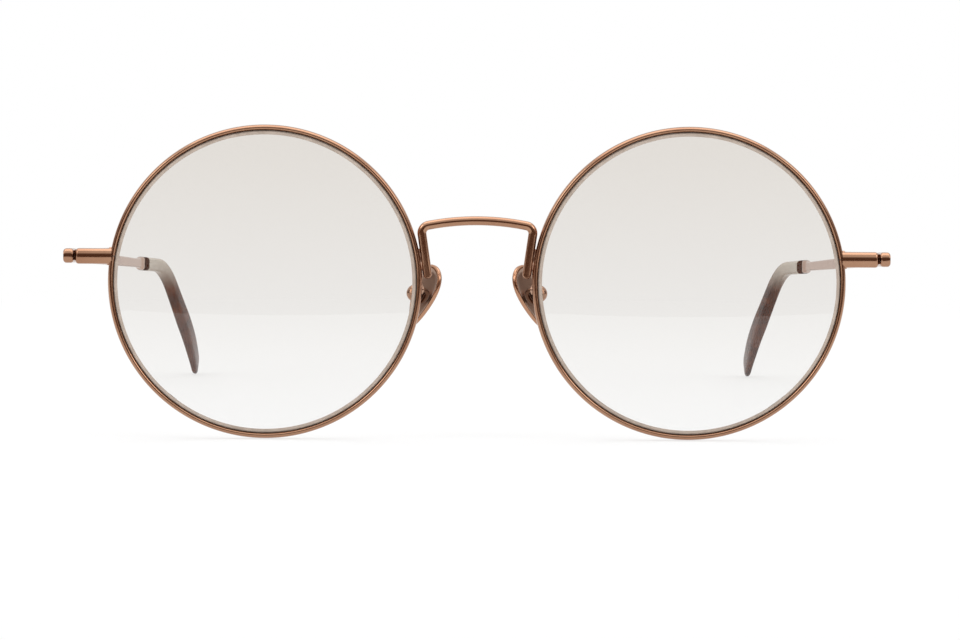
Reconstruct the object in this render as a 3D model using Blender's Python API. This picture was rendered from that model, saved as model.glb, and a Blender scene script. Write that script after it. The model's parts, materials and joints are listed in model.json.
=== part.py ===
"""Round wire eyeglasses: metal rims, clear lenses, hinged temples with acetate tips, nose pads.

X runs across the face, the front looks along -Y, +Z is up. The glasses stand on z = 0 on the
two rims and the two tips. Every piece is worked out for the side at +X and mirrored to -X.
"""
import math

import bpy
import bmesh
from mathutils import Matrix, Vector

MM = 0.001

# Front
LENS_SPACING = 70.0 * MM        # from one lens centre to the other
LENS_RADIUS = 24.86 * MM        # edge of the lens beside its bevel
LENS_BEVEL = 0.4 * MM           # height of the bevel that sits in the rim's groove
LENS_THICKNESS = 1.6 * MM
LENS_MARGIN = 0.07 * MM         # between the lens's edge and the inside of the rim wire
LENS_CURVE = 133.0 * MM         # radius of the lens's front surface
RIM_WIDTH = 1.0 * MM            # rim wire, measured along the radius
RIM_DEPTH = 1.9 * MM            # rim wire, measured front to back
GROOVE_HALF_WIDTH = 0.45 * MM
SPLIT_WIDTH = 0.16 * MM         # slit where the closing screw draws the rim together
BRIDGE_WIRE = 0.75 * MM         # radius
BRIDGE_TOP = 10.24 * MM         # wire centre at the middle, above the lens centres
BRIDGE_ARCH = 11.0              # slope of the arch at its ends, degrees
BRIDGE_ARCH_RADIUS = 42.0 * MM
BRIDGE_CORNER = 1.3 * MM
BRIDGE_CONTACT = 3.8 * MM       # height above the lens centres where a leg touches the rim
BRIDGE_END = 1.4 * MM           # height above the lens centres of a leg's end

# Endpiece and closing block
HINGE_RISE = 4.1 * MM           # endpiece centre above the lens centres
ENDPIECE_REACH = 5.27 * MM      # outer end, outwards from the outer side of the rim
ENDPIECE_HEIGHT = 2.55 * MM
ENDPIECE_PROUD = 0.15 * MM      # how far it stands in front of the rim
ENDPIECE_ROUND = 0.45 * MM      # length of its rounded outer end
ENDPIECE_TURN = 0.12 * MM       # the last part of that rounding
BLOCK_WIDTH = 2.2 * MM
BLOCK_DEPTH = 1.5 * MM
BLOCK_HEIGHT = 1.15 * MM
BLOCK_CHAMFER = 0.3 * MM
CLOSING_SCREW = 0.40 * MM       # radius
CLOSING_HEAD = 0.65 * MM        # radius
CLOSING_HEAD_HEIGHT = 0.40 * MM

# Hinge
HINGE_INSET = 0.05 * MM         # knuckles, inwards from the endpiece's outer end
HINGE_BACK = 2.1 * MM           # pivot, behind the back of the rim
KNUCKLE_RADIUS = 1.15 * MM
KNUCKLE_MIDDLE = 0.8 * MM       # height of the temple's knuckle
KNUCKLE_OUTER = 0.65 * MM       # height of each knuckle on the front
HINGE_SCREW = 0.50 * MM         # radius
HINGE_HEAD = 0.80 * MM          # radius
HINGE_HEAD_HEIGHT = 0.35 * MM
HINGE_HEAD_CHAMFER = 0.15 * MM
HINGE_SCREW_END = 0.15 * MM     # how far the screw comes out below
HINGE_SCREW_CHAMFER = 0.10 * MM
BASE_HALF_WIDTH = 0.95 * MM     # tongue of the front's knuckles
TONGUE_HALF_WIDTH = 0.60 * MM   # tongue of the temple's knuckle
LEAF_LENGTH = 5.0 * MM          # temple leaf, behind the pivot
LEAF_AHEAD = 0.9 * MM           # temple leaf, ahead of the pivot
LEAF_HALF_HEIGHT = 0.9 * MM
LEAF_CORNER = 0.4 * MM          # cut off its rear corner, along the temple
LEAF_CORNER_WIDTH = 0.2 * MM

# Temple
TEMPLE_SLOPE = 4.15             # degrees down towards the back
TEMPLE_INWARD = 4.2             # degrees in towards the head
HEAD_GAP = 0.4 * MM             # between the endpiece and the temple's head
HEAD_WIDTH = 1.7 * MM
HEAD_HEIGHT = 2.4 * MM
HEAD_LENGTH = 6.0 * MM
HEAD_START = 0.15 * MM          # front of the head, behind the front of the rims
HEAD_NOSE = 0.35 * MM           # length of the head's rounded front
SET_IN_LENGTH = 4.0 * MM        # behind the head, where the bar narrows and turns inwards
BAR_WIDTH = 1.1 * MM
BAR_HEIGHT = 1.6 * MM
COLLAR_WIDTH = 1.6 * MM
COLLAR_HEIGHT = 2.3 * MM
COLLAR_LENGTH = 3.5 * MM
RING_DISTANCE = 81.1 * MM       # from the front of the rims to the front of the ring
RING_LENGTH = 4.8 * MM
RING_WIDTH = 1.8 * MM
RING_HEIGHT = 2.5 * MM
BEND_DISTANCE = 97.0 * MM       # from the front of the rims to the start of the drop
BEND_RADIUS = 20.0 * MM
DROP_ANGLE = 41.0               # degrees down
TIP_START_INWARD = 8.0          # lean of the tip where the drop begins, degrees
TIP_INWARD = 12.5               # largest inward lean of the tip, degrees
TIP_FLARE = 5.0                 # lean at its very end, degrees
TIP_THICKNESS = 2.1 * MM
TIP_BEND_HEIGHT = 3.1 * MM
PADDLE_HEIGHT = 5.0 * MM
PADDLE_END = 3.4 * MM           # length of the rounded end
PADDLE_THIN = 1.3 * MM          # thickness where the rounded end begins
CORE_RADIUS = 0.45 * MM
CORE_REACH = 0.62               # share of the tip that the core wire runs into

# Nose pads
PAD_LENGTH = 10.9 * MM
PAD_WIDTH = 5.9 * MM
PAD_THICKNESS = 0.8 * MM
PAD_TAPER = 0.45
PAD_CROWN = 0.35 * MM
PAD_LEAN = 21.0                 # degrees, top towards the nose
PAD_SPLAY = 40.0                # degrees, front edge towards the nose
PAD_BESIDE = 0.12 * MM          # pad middle, towards the nose from the nose side of the rim
PAD_DROP = 2.5 * MM             # pad middle below the lens centres
PAD_BACK = 3.9 * MM             # pad middle behind the back of the rim
BOX_RADIUS = 1.45 * MM
STUD_HALF_WIDTH = 0.62 * MM
STUD_HEIGHT = 1.1 * MM
PAD_SCREW = 0.32 * MM           # radius
PAD_SCREW_HEAD = 0.62 * MM      # radius
PAD_SCREW_HEAD_HEIGHT = 0.55 * MM
ARM_WIRE = 0.42 * MM            # radius
ARM_ANGLE = 182.7               # where it meets the rim, degrees round from the outer side
ARM_ROOT_TURN = 34.0            # place on the rim wire, degrees from its nose side to its back
ARM_ROOT_GAP = 0.16 * MM        # between the rim wire and the middle of the arm's flat end
ARM_END_GAP = 0.07 * MM         # more than the solder's gap, between the ball and the other end
ARM_LEAVE = Vector((-0.88, 0.45, -0.17)) * 2.2 * MM   # how it leaves the rim
ARM_ARRIVE = 2.15 * MM          # how strongly it arrives square to the ball
BOX_SLOT_ROOM = 0.12 * MM       # round the stud in the box's slot
PAD_HEAD_ROOM = 0.06 * MM       # round the screw's head in the box

# Clearances
SOLDER_GAP = 0.05 * MM          # between pieces that are joined by solder or a press fit
SEAT_GAP = 0.05 * MM            # lens bevel in the rim's groove, tip on its core
RUN_GAP = 0.04 * MM             # round a turning screw
KNUCKLE_GAP = 0.06 * MM         # between knuckles
SEAT_CLEARANCE = 0.03 * MM      # under a screw head

# Facets
RIM_FACETS = 72
WIRE_FACETS = 10
SECTION_FACETS = 12
SCREW_FACETS = 16
ARM_FACETS = 10
ARM_STEPS = 10

# Worked out from the sizes above
rim_inner = LENS_RADIUS + LENS_MARGIN
rim_outer = rim_inner + RIM_WIDTH
rim_middle = (rim_inner + rim_outer) / 2
rim_plane = RIM_DEPTH / 2
lens_x = LENS_SPACING / 2
lens_z = rim_outer
split_angle = math.asin(HINGE_RISE / rim_outer)
hinge_z = lens_z + HINGE_RISE
endpiece_end = lens_x + rim_outer + ENDPIECE_REACH
pivot = Vector((endpiece_end - HINGE_INSET - KNUCKLE_RADIUS, RIM_DEPTH + HINGE_BACK, hinge_z))
slope = math.radians(TEMPLE_SLOPE)
hinge_axis = Vector((0, math.sin(slope), math.cos(slope)))
head_inner = endpiece_end + HEAD_GAP

COPPER = (0.55, 0.33, 0.21, 1)
SCREW_METAL = (0.60, 0.44, 0.33, 1)
DARK_BROWN = (0.03, 0.012, 0.006, 1)
ACETATE = (0.16, 0.08, 0.045, 1)
CLEAR = (0.92, 0.93, 0.94, 0.3)


def clear_scene():
    for old in list(bpy.data.objects):
        bpy.data.objects.remove(old, do_unlink=True)


def finish(name, colour, metallic, roughness):
    material = bpy.data.materials.new(name)
    material.use_nodes = True
    shader = material.node_tree.nodes["Principled BSDF"]
    shader.inputs["Base Color"].default_value = colour
    shader.inputs["Metallic"].default_value = metallic
    shader.inputs["Roughness"].default_value = roughness
    material.diffuse_color = colour
    return material


def skin(rings, loop=False):
    """Faces between neighbouring rings; a ring of one point is a pole, open ends are capped."""
    verts = []
    rows = []
    for ring in rings:
        rows.append(list(range(len(verts), len(verts) + len(ring))))
        verts.extend(ring)
    faces = []
    following = rows[1:] + (rows[:1] if loop else [])
    for low, high in zip(rows, following):
        count = max(len(low), len(high))
        for i in range(count):
            j = (i + 1) % count
            if len(low) == 1:
                faces.append((low[0], high[j], high[i]))
            elif len(high) == 1:
                faces.append((low[i], low[j], high[0]))
            else:
                faces.append((low[i], low[j], high[j], high[i]))
    if not loop:
        for end in (rows[0], rows[-1]):
            if len(end) > 1:
                faces.append(tuple(end))
    return verts, faces


def add_object(name, shape, side, material=None):
    """One object from points worked out for the +X side; side -1 mirrors it."""
    verts, faces = shape
    mesh = bpy.data.meshes.new(name)
    mesh.from_pydata([(v[0] * side, v[1], v[2]) for v in verts], [], faces)
    work = bmesh.new()
    work.from_mesh(mesh)
    bmesh.ops.recalc_face_normals(work, faces=work.faces)
    work.to_mesh(mesh)
    work.free()
    mesh.shade_smooth()
    mesh.set_sharp_from_angle(angle=math.radians(35))
    thing = bpy.data.objects.new(name, mesh)
    bpy.context.collection.objects.link(thing)
    if material:
        mesh.materials.append(material)
    return thing


def combine(target, other, operation):
    """A Boolean with a helper object that the build leaves out."""
    other.hide_render = True
    other.display_type = "WIRE"
    modifier = target.modifiers.new(operation.title(), "BOOLEAN")
    modifier.operation = operation
    modifier.object = other
    modifier.solver = "EXACT"


def side_name(side):
    return "right" if side > 0 else "left"


def circle(centre, across, up, radius, count):
    return [centre + across * (radius * math.cos(2 * math.pi * k / count))
            + up * (radius * math.sin(2 * math.pi * k / count)) for k in range(count)]


def rounded(centre, across, up, half_width, half_height, squareness=2.6):
    """A ring between an ellipse and a rectangle."""
    ring = []
    for k in range(SECTION_FACETS):
        angle = 2 * math.pi * (k + 0.5) / SECTION_FACETS
        c = math.cos(angle)
        s = math.sin(angle)
        x = math.copysign(abs(c) ** (2 / squareness), c)
        y = math.copysign(abs(s) ** (2 / squareness), s)
        ring.append(centre + across * (half_width * x) + up * (half_height * y))
    return ring


def turned(profile, origin, axis, count, loop=False):
    """Revolve (radius, height) pairs round an axis; radius 0 is a pole."""
    axis = axis.normalized()
    across = axis.orthogonal().normalized()
    up = axis.cross(across)
    rings = []
    for radius, height in profile:
        centre = origin + axis * height
        rings.append([centre] if radius == 0 else circle(centre, across, up, radius, count))
    return skin(rings, loop)


def wire(points, radius, count, end_round=0):
    """A round wire through points, square to its path; end_round steps dome its last end."""
    rings = []
    reference = Vector((0, 1, 0))
    last = len(points) - 1
    for k, point in enumerate(points):
        tangent = (points[min(k + 1, last)] - points[max(k - 1, 0)]).normalized()
        across = reference - tangent * reference.dot(tangent)
        if across.length < 0.2:
            across = Vector((1, 0, 0)) - tangent * tangent.x
        across.normalize()
        reference = across
        up = tangent.cross(across)
        rings.append(circle(point, across, up, radius, count))
    for end, outward in ((0, -1), (last, 1)):
        if not end_round:
            continue
        tangent = (points[1] - points[0]) if end == 0 else (points[-1] - points[-2])
        tangent = tangent.normalized() * outward
        base = rings[0] if end == 0 else rings[-1]
        dome = []
        for k in range(1, end_round):
            angle = math.pi / 2 * k / end_round
            shift = tangent * (radius * math.sin(angle))
            dome.append([points[end] + (p - points[end]) * math.cos(angle) + shift for p in base])
        dome.append([points[end] + tangent * radius])
        rings = (list(reversed(dome)) + rings) if end == 0 else rings + dome
    return skin(rings)


def fillet(corners, radii, steps):
    """A path through corners in the XZ plane, with an arc of its own radius at each inner one."""
    path = [corners[0]]
    for before, corner, after, radius in zip(corners, corners[1:], corners[2:], radii):
        to_before = (before - corner).normalized()
        to_after = (after - corner).normalized()
        half = to_before.angle(to_after) / 2
        setback = radius / math.tan(half)
        centre = corner + (to_before + to_after).normalized() * (radius / math.sin(half))
        start = corner + to_before * setback - centre
        end = corner + to_after * setback - centre
        turn = start.angle(end)
        for k in range(steps + 1):
            part = k / steps
            weight_start = math.sin((1 - part) * turn) / math.sin(turn)
            weight_end = math.sin(part * turn) / math.sin(turn)
            path.append(centre + start * weight_start + end * weight_end)
    path.append(corners[-1])
    return path


def make_bridge(metal):
    """Both legs are tangent to circles that clear the rims."""
    reach = rim_outer + SOLDER_GAP + BRIDGE_WIRE
    contact_x = lens_x - math.sqrt(reach ** 2 - BRIDGE_CONTACT ** 2)
    leg_slope = BRIDGE_CONTACT / math.sqrt(reach ** 2 - BRIDGE_CONTACT ** 2)
    arch = math.radians(BRIDGE_ARCH)
    arch_rise = 1 / math.cos(arch) - 1
    lean_share = 1 + leg_slope * math.tan(arch)
    level_x = (contact_x + leg_slope * (BRIDGE_TOP - BRIDGE_CONTACT)) / lean_share
    corner_room = BRIDGE_CORNER / math.tan((math.pi / 2 + arch - math.atan(leg_slope)) / 2)
    # the arch's own rounding ends where the corners' rounding begins
    arch_radius = min(BRIDGE_ARCH_RADIUS, (level_x / math.cos(arch) - corner_room)
                      / (math.tan(arch) - leg_slope * arch_rise / (lean_share * math.cos(arch))))
    apex_z = BRIDGE_TOP + arch_radius * arch_rise
    foot_x = contact_x + leg_slope * (BRIDGE_END - BRIDGE_CONTACT)
    corner_x = (contact_x + leg_slope * (apex_z - BRIDGE_CONTACT)) / lean_share
    corner_z = apex_z - corner_x * math.tan(arch)

    def place(x, z):
        return Vector((x, rim_plane, lens_z + z))

    corners = [place(-foot_x, BRIDGE_END), place(-corner_x, corner_z), place(0, apex_z),
               place(corner_x, corner_z), place(foot_x, BRIDGE_END)]
    path = fillet(corners, [BRIDGE_CORNER, arch_radius, BRIDGE_CORNER], 8)
    add_object("bridge", wire(path, BRIDGE_WIRE, WIRE_FACETS, end_round=3), 1, metal)


def rim_section():
    """(radius, y) pairs round the rim wire: an oval with a V groove on its inner side."""
    mouth = math.pi - math.asin(GROOVE_HALF_WIDTH / (RIM_DEPTH / 2))
    steps = 10
    section = []
    for k in range(steps + 1):
        angle = -mouth + 2 * mouth * k / steps
        section.append((rim_middle + RIM_WIDTH / 2 * math.cos(angle),
                        rim_plane + RIM_DEPTH / 2 * math.sin(angle)))
    section.append((LENS_RADIUS + LENS_BEVEL + SEAT_GAP, rim_plane))
    return section


def make_rim(side, metal):
    section = rim_section()
    start = split_angle + SPLIT_WIDTH / 2 / rim_middle
    sweep = 2 * math.pi - SPLIT_WIDTH / rim_middle
    rings = []
    for k in range(RIM_FACETS + 1):
        angle = start + sweep * k / RIM_FACETS
        rings.append([Vector((lens_x + radius * math.cos(angle), y, lens_z + radius * math.sin(angle)))
                      for radius, y in section])
    add_object(side_name(side) + "_rim", skin(rings), side, metal)


def make_lens(side, material):
    """A shallow dish whose bevelled edge sits in the rim's groove."""
    def sag(radius):
        return LENS_CURVE - math.sqrt(LENS_CURVE ** 2 - radius ** 2)

    edge_sag = sag(LENS_RADIUS)
    half = LENS_THICKNESS / 2
    shares = (0.0, 0.4, 0.75, 1.0)
    bevel_root = LENS_RADIUS - 0.02 * MM
    profile = [(LENS_RADIUS * share, -half - edge_sag + sag(LENS_RADIUS * share)) for share in shares]
    profile += [(bevel_root, -GROOVE_HALF_WIDTH), (LENS_RADIUS + LENS_BEVEL, 0),
                (bevel_root, GROOVE_HALF_WIDTH)]
    profile += [(LENS_RADIUS * share, half - edge_sag + sag(LENS_RADIUS * share))
                for share in reversed(shares)]
    rings = []
    for radius, depth in profile:
        y = rim_plane + depth
        if radius == 0:
            rings.append([Vector((lens_x, y, lens_z))])
            continue
        rings.append([Vector((lens_x + radius * math.cos(angle), y, lens_z + radius * math.sin(angle)))
                      for angle in (split_angle + 2 * math.pi * k / RIM_FACETS
                                    for k in range(RIM_FACETS))])
    add_object(side_name(side) + "_lens", skin(rings), side, material)


def make_endpiece(side, metal):
    """A bar with a round front and a flat back, its inner end cut to the rim's outside."""
    half = ENDPIECE_HEIGHT / 2
    front = -ENDPIECE_PROUD
    back = RIM_DEPTH
    section = []
    steps = 8
    for k in range(steps + 1):
        angle = math.pi * k / steps
        section.append((front + (back - front) * 0.55 * (1 - math.sin(angle) ** 0.8),
                        half * math.cos(angle)))
    section += [(back, -half), (back, half)]

    def end_ring(inset, shrink):
        return [Vector((endpiece_end - inset, back + (y - back) * shrink, hinge_z + z * shrink))
                for y, z in section]

    inner = [Vector((lens_x + math.sqrt((rim_outer + SOLDER_GAP) ** 2 - (HINGE_RISE + z) ** 2), y,
                     hinge_z + z)) for y, z in section]
    rings = [inner, end_ring(ENDPIECE_ROUND, 1.0), end_ring(ENDPIECE_TURN, 0.93), end_ring(0, 0.80)]
    add_object(side_name(side) + "_endpiece", skin(rings), side, metal)


def block(centre, size, chamfer):
    """A box with chamfered upright edges, as rings from bottom to top."""
    x, y, z = (value / 2 for value in size)
    outline = [(x, -y + chamfer), (x, y - chamfer), (x - chamfer, y), (-x + chamfer, y),
               (-x, y - chamfer), (-x, -y + chamfer), (-x + chamfer, -y), (x - chamfer, -y)]
    return skin([[centre + Vector((px, py, pz)) for px, py in outline] for pz in (-z, z)])


def make_closing_block(side, metal, screw_metal):
    """Two blocks behind the rim, one on each side of the slit, drawn together by a screw."""
    name = side_name(side)
    axis_x = lens_x + rim_outer
    axis_y = RIM_DEPTH + SOLDER_GAP + BLOCK_DEPTH / 2
    lift = SPLIT_WIDTH / 2 + BLOCK_HEIGHT / 2
    up = Vector((0, 0, 1))
    middle = Vector((axis_x, axis_y, hinge_z))
    for label, direction in (("upper", 1), ("lower", -1)):
        centre = middle + up * (lift * direction)
        piece = add_object(name + "_closing_block_" + label,
                           block(centre, (BLOCK_WIDTH, BLOCK_DEPTH, BLOCK_HEIGHT), BLOCK_CHAMFER), side, metal)
        bore = [(CLOSING_SCREW + RUN_GAP, -BLOCK_HEIGHT), (CLOSING_SCREW + RUN_GAP, BLOCK_HEIGHT)]
        if direction < 0:
            sunk = CLOSING_HEAD_HEIGHT - BLOCK_HEIGHT / 2
            bore = [(CLOSING_HEAD + RUN_GAP, -BLOCK_HEIGHT), (CLOSING_HEAD + RUN_GAP, sunk),
                    (CLOSING_SCREW + RUN_GAP, sunk), (CLOSING_SCREW + RUN_GAP, BLOCK_HEIGHT)]
        cutter = add_object(name + "_bore_" + label, turned(bore, centre, up, SCREW_FACETS), side)
        combine(piece, cutter, "DIFFERENCE")
    below = -SPLIT_WIDTH / 2 - BLOCK_HEIGHT
    rest = below + CLOSING_HEAD_HEIGHT - SEAT_CLEARANCE
    profile = [(0, below), (CLOSING_HEAD, below), (CLOSING_HEAD, rest), (CLOSING_SCREW, rest),
               (CLOSING_SCREW, -below), (0, -below)]
    add_object(name + "_closing_screw", turned(profile, middle, up, SCREW_FACETS), side, screw_metal)


def knuckle_outline(direction, reach, half_width, radius):
    """A barrel seen along its axis, with a tongue that runs out to reach."""
    ahead = direction.normalized()
    beside = hinge_axis.cross(ahead)
    spread = math.asin(half_width / radius)
    points = []
    steps = 14
    for k in range(steps + 1):
        angle = spread + (2 * math.pi - 2 * spread) * k / steps
        points.append(ahead * (radius * math.cos(angle)) + beside * (radius * math.sin(angle)))
    points.append(ahead * reach - beside * half_width)
    points.append(ahead * reach + beside * half_width)
    return points


def slab(outline, bottom, top):
    return skin([[pivot + point + hinge_axis * height for point in outline] for height in (bottom, top)])


def make_hinge(side, metal, screw_metal):
    name = side_name(side)
    half_middle = KNUCKLE_MIDDLE / 2
    inner = half_middle + KNUCKLE_GAP
    top = inner + KNUCKLE_OUTER
    hole = [(HINGE_SCREW + RUN_GAP, -2 * top), (HINGE_SCREW + RUN_GAP, 2 * top)]
    sunk = top - HINGE_HEAD_HEIGHT
    stepped = [(HINGE_SCREW + RUN_GAP, -2 * top), (HINGE_SCREW + RUN_GAP, sunk),
               (HINGE_HEAD + RUN_GAP, sunk), (HINGE_HEAD + RUN_GAP, 2 * top)]

    # Front: two knuckles on one base that is soldered to the back of the endpiece.
    forward = Vector((0, -math.cos(slope), math.sin(slope)))
    tilt_allowance = top * math.tan(slope)
    reach = HINGE_BACK - SOLDER_GAP - tilt_allowance
    front = add_object(name + "_hinge_front",
                       slab(knuckle_outline(forward, reach, BASE_HALF_WIDTH, KNUCKLE_RADIUS), -top, top),
                       side, metal)
    sweep = KNUCKLE_RADIUS + KNUCKLE_GAP
    slot = add_object(name + "_hinge_slot",
                      turned([(sweep, -inner), (sweep, inner)], pivot, hinge_axis, 32), side)
    bore = add_object(name + "_hinge_bore", turned(stepped, pivot, hinge_axis, SCREW_FACETS), side)
    combine(front, slot, "DIFFERENCE")
    combine(front, bore, "DIFFERENCE")

    # Temple: one knuckle, and a leaf on the inner face of the temple's head.
    outward = Vector((1, 0, 0))
    along = hinge_axis.cross(outward)
    reach = head_inner - SOLDER_GAP - pivot.x
    tongue = add_object(name + "_hinge_temple",
                        slab(knuckle_outline(outward, reach, TONGUE_HALF_WIDTH, KNUCKLE_RADIUS),
                             -half_middle, half_middle), side, metal)
    leaf_x = (KNUCKLE_RADIUS + KNUCKLE_GAP, reach)
    leaf_y = (-LEAF_AHEAD, LEAF_LENGTH)
    leaf_outline = [outward * x + along * y for x, y in
                    ((leaf_x[0], leaf_y[0]), (leaf_x[1], leaf_y[0]), (leaf_x[1], leaf_y[1]),
                     (leaf_x[0] + LEAF_CORNER_WIDTH, leaf_y[1]), (leaf_x[0], leaf_y[1] - LEAF_CORNER))]
    leaf = add_object(name + "_hinge_leaf", slab(leaf_outline, -LEAF_HALF_HEIGHT, LEAF_HALF_HEIGHT), side)
    bore_again = add_object(name + "_tongue_bore", turned(hole, pivot, hinge_axis, SCREW_FACETS), side)
    combine(tongue, leaf, "UNION")
    combine(tongue, bore_again, "DIFFERENCE")

    # Screw: its head is sunk in the upper knuckle.
    seat = sunk + SEAT_CLEARANCE
    lowest = -top - HINGE_SCREW_END
    profile = [(0, lowest), (HINGE_SCREW - HINGE_SCREW_CHAMFER, lowest), (HINGE_SCREW, -top),
               (HINGE_SCREW, seat), (HINGE_HEAD, seat), (HINGE_HEAD, seat + HINGE_HEAD_HEIGHT * 0.6),
               (HINGE_HEAD - HINGE_HEAD_CHAMFER, seat + HINGE_HEAD_HEIGHT), (0, seat + HINGE_HEAD_HEIGHT)]
    add_object(name + "_hinge_screw", turned(profile, pivot, hinge_axis, SCREW_FACETS), side, screw_metal)
    return tongue


class Walk:
    """A path that is walked in stretches; lean and drop change evenly along each one."""

    def __init__(self, start, lean, drop):
        self.point = start
        self.lean = lean
        self.drop = drop
        self.distance = 0.0

    def direction(self):
        lean = math.radians(self.lean)
        drop = math.radians(self.drop)
        return Vector((-math.sin(lean) * math.cos(drop), math.cos(lean) * math.cos(drop), -math.sin(drop)))

    def stretch(self, length, lean, drop, steps):
        """Stations (distance, point, tangent) after each step."""
        stations = []
        lean_step = (lean - self.lean) / steps
        drop_step = (drop - self.drop) / steps
        for _ in range(steps):
            self.lean += lean_step / 2
            self.drop += drop_step / 2
            self.point = self.point + self.direction() * (length / steps)
            self.distance += length / steps
            self.lean += lean_step / 2
            self.drop += drop_step / 2
            stations.append((self.distance, self.point, self.direction()))
        return stations


def section_frame(tangent):
    across = (Vector((1, 0, 0)) - tangent * tangent.x).normalized()
    return across, tangent.cross(across) * -1


def ring_at(station, half_width, half_height, squareness=2.6):
    _, point, tangent = station
    across, up = section_frame(tangent)
    return rounded(point, across, up, half_width, half_height, squareness)


def temple_stations():
    """The temple's centre line, from the front of its head to the end of the tip."""
    head_start = Vector((head_inner + HEAD_WIDTH / 2, HEAD_START, 0))
    head_start.z = hinge_z + math.tan(slope) * (pivot.y - head_start.y)
    walk = Walk(head_start, 0.0, TEMPLE_SLOPE)
    start = (0.0, walk.point, walk.direction())
    head = [start] + walk.stretch(HEAD_LENGTH, 0.0, TEMPLE_SLOPE, 2)
    set_in = walk.stretch(SET_IN_LENGTH, TEMPLE_INWARD, TEMPLE_SLOPE, 3)
    pace = math.cos(math.radians(TEMPLE_INWARD)) * math.cos(slope)
    bar = walk.stretch((RING_DISTANCE - COLLAR_LENGTH - walk.point.y) / pace, TEMPLE_INWARD, TEMPLE_SLOPE, 4)
    collar = walk.stretch(COLLAR_LENGTH, TEMPLE_INWARD, TEMPLE_SLOPE, 1)
    ring = walk.stretch(RING_LENGTH, TEMPLE_INWARD, TEMPLE_SLOPE, 1)
    straight = walk.stretch((BEND_DISTANCE - walk.point.y) / pace, TIP_START_INWARD, TEMPLE_SLOPE, 2)
    bend_length = BEND_RADIUS * math.radians(DROP_ANGLE - TEMPLE_SLOPE)
    bend = walk.stretch(bend_length, TIP_INWARD, DROP_ANGLE, 7)
    drop = math.radians(DROP_ANGLE)
    end_reach = math.hypot(PADDLE_END * math.sin(drop), PADDLE_HEIGHT / 2 * math.cos(drop))
    leg_length = (walk.point.z - end_reach) / math.sin(drop)
    leg = walk.stretch(leg_length * 0.5, TIP_INWARD, DROP_ANGLE, 3)
    leg += walk.stretch(leg_length * 0.5, TIP_FLARE, DROP_ANGLE, 4)
    return {"head": head, "set_in": set_in, "bar": bar, "collar": collar, "ring": ring,
            "straight": straight, "bend": bend, "leg": leg}


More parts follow.
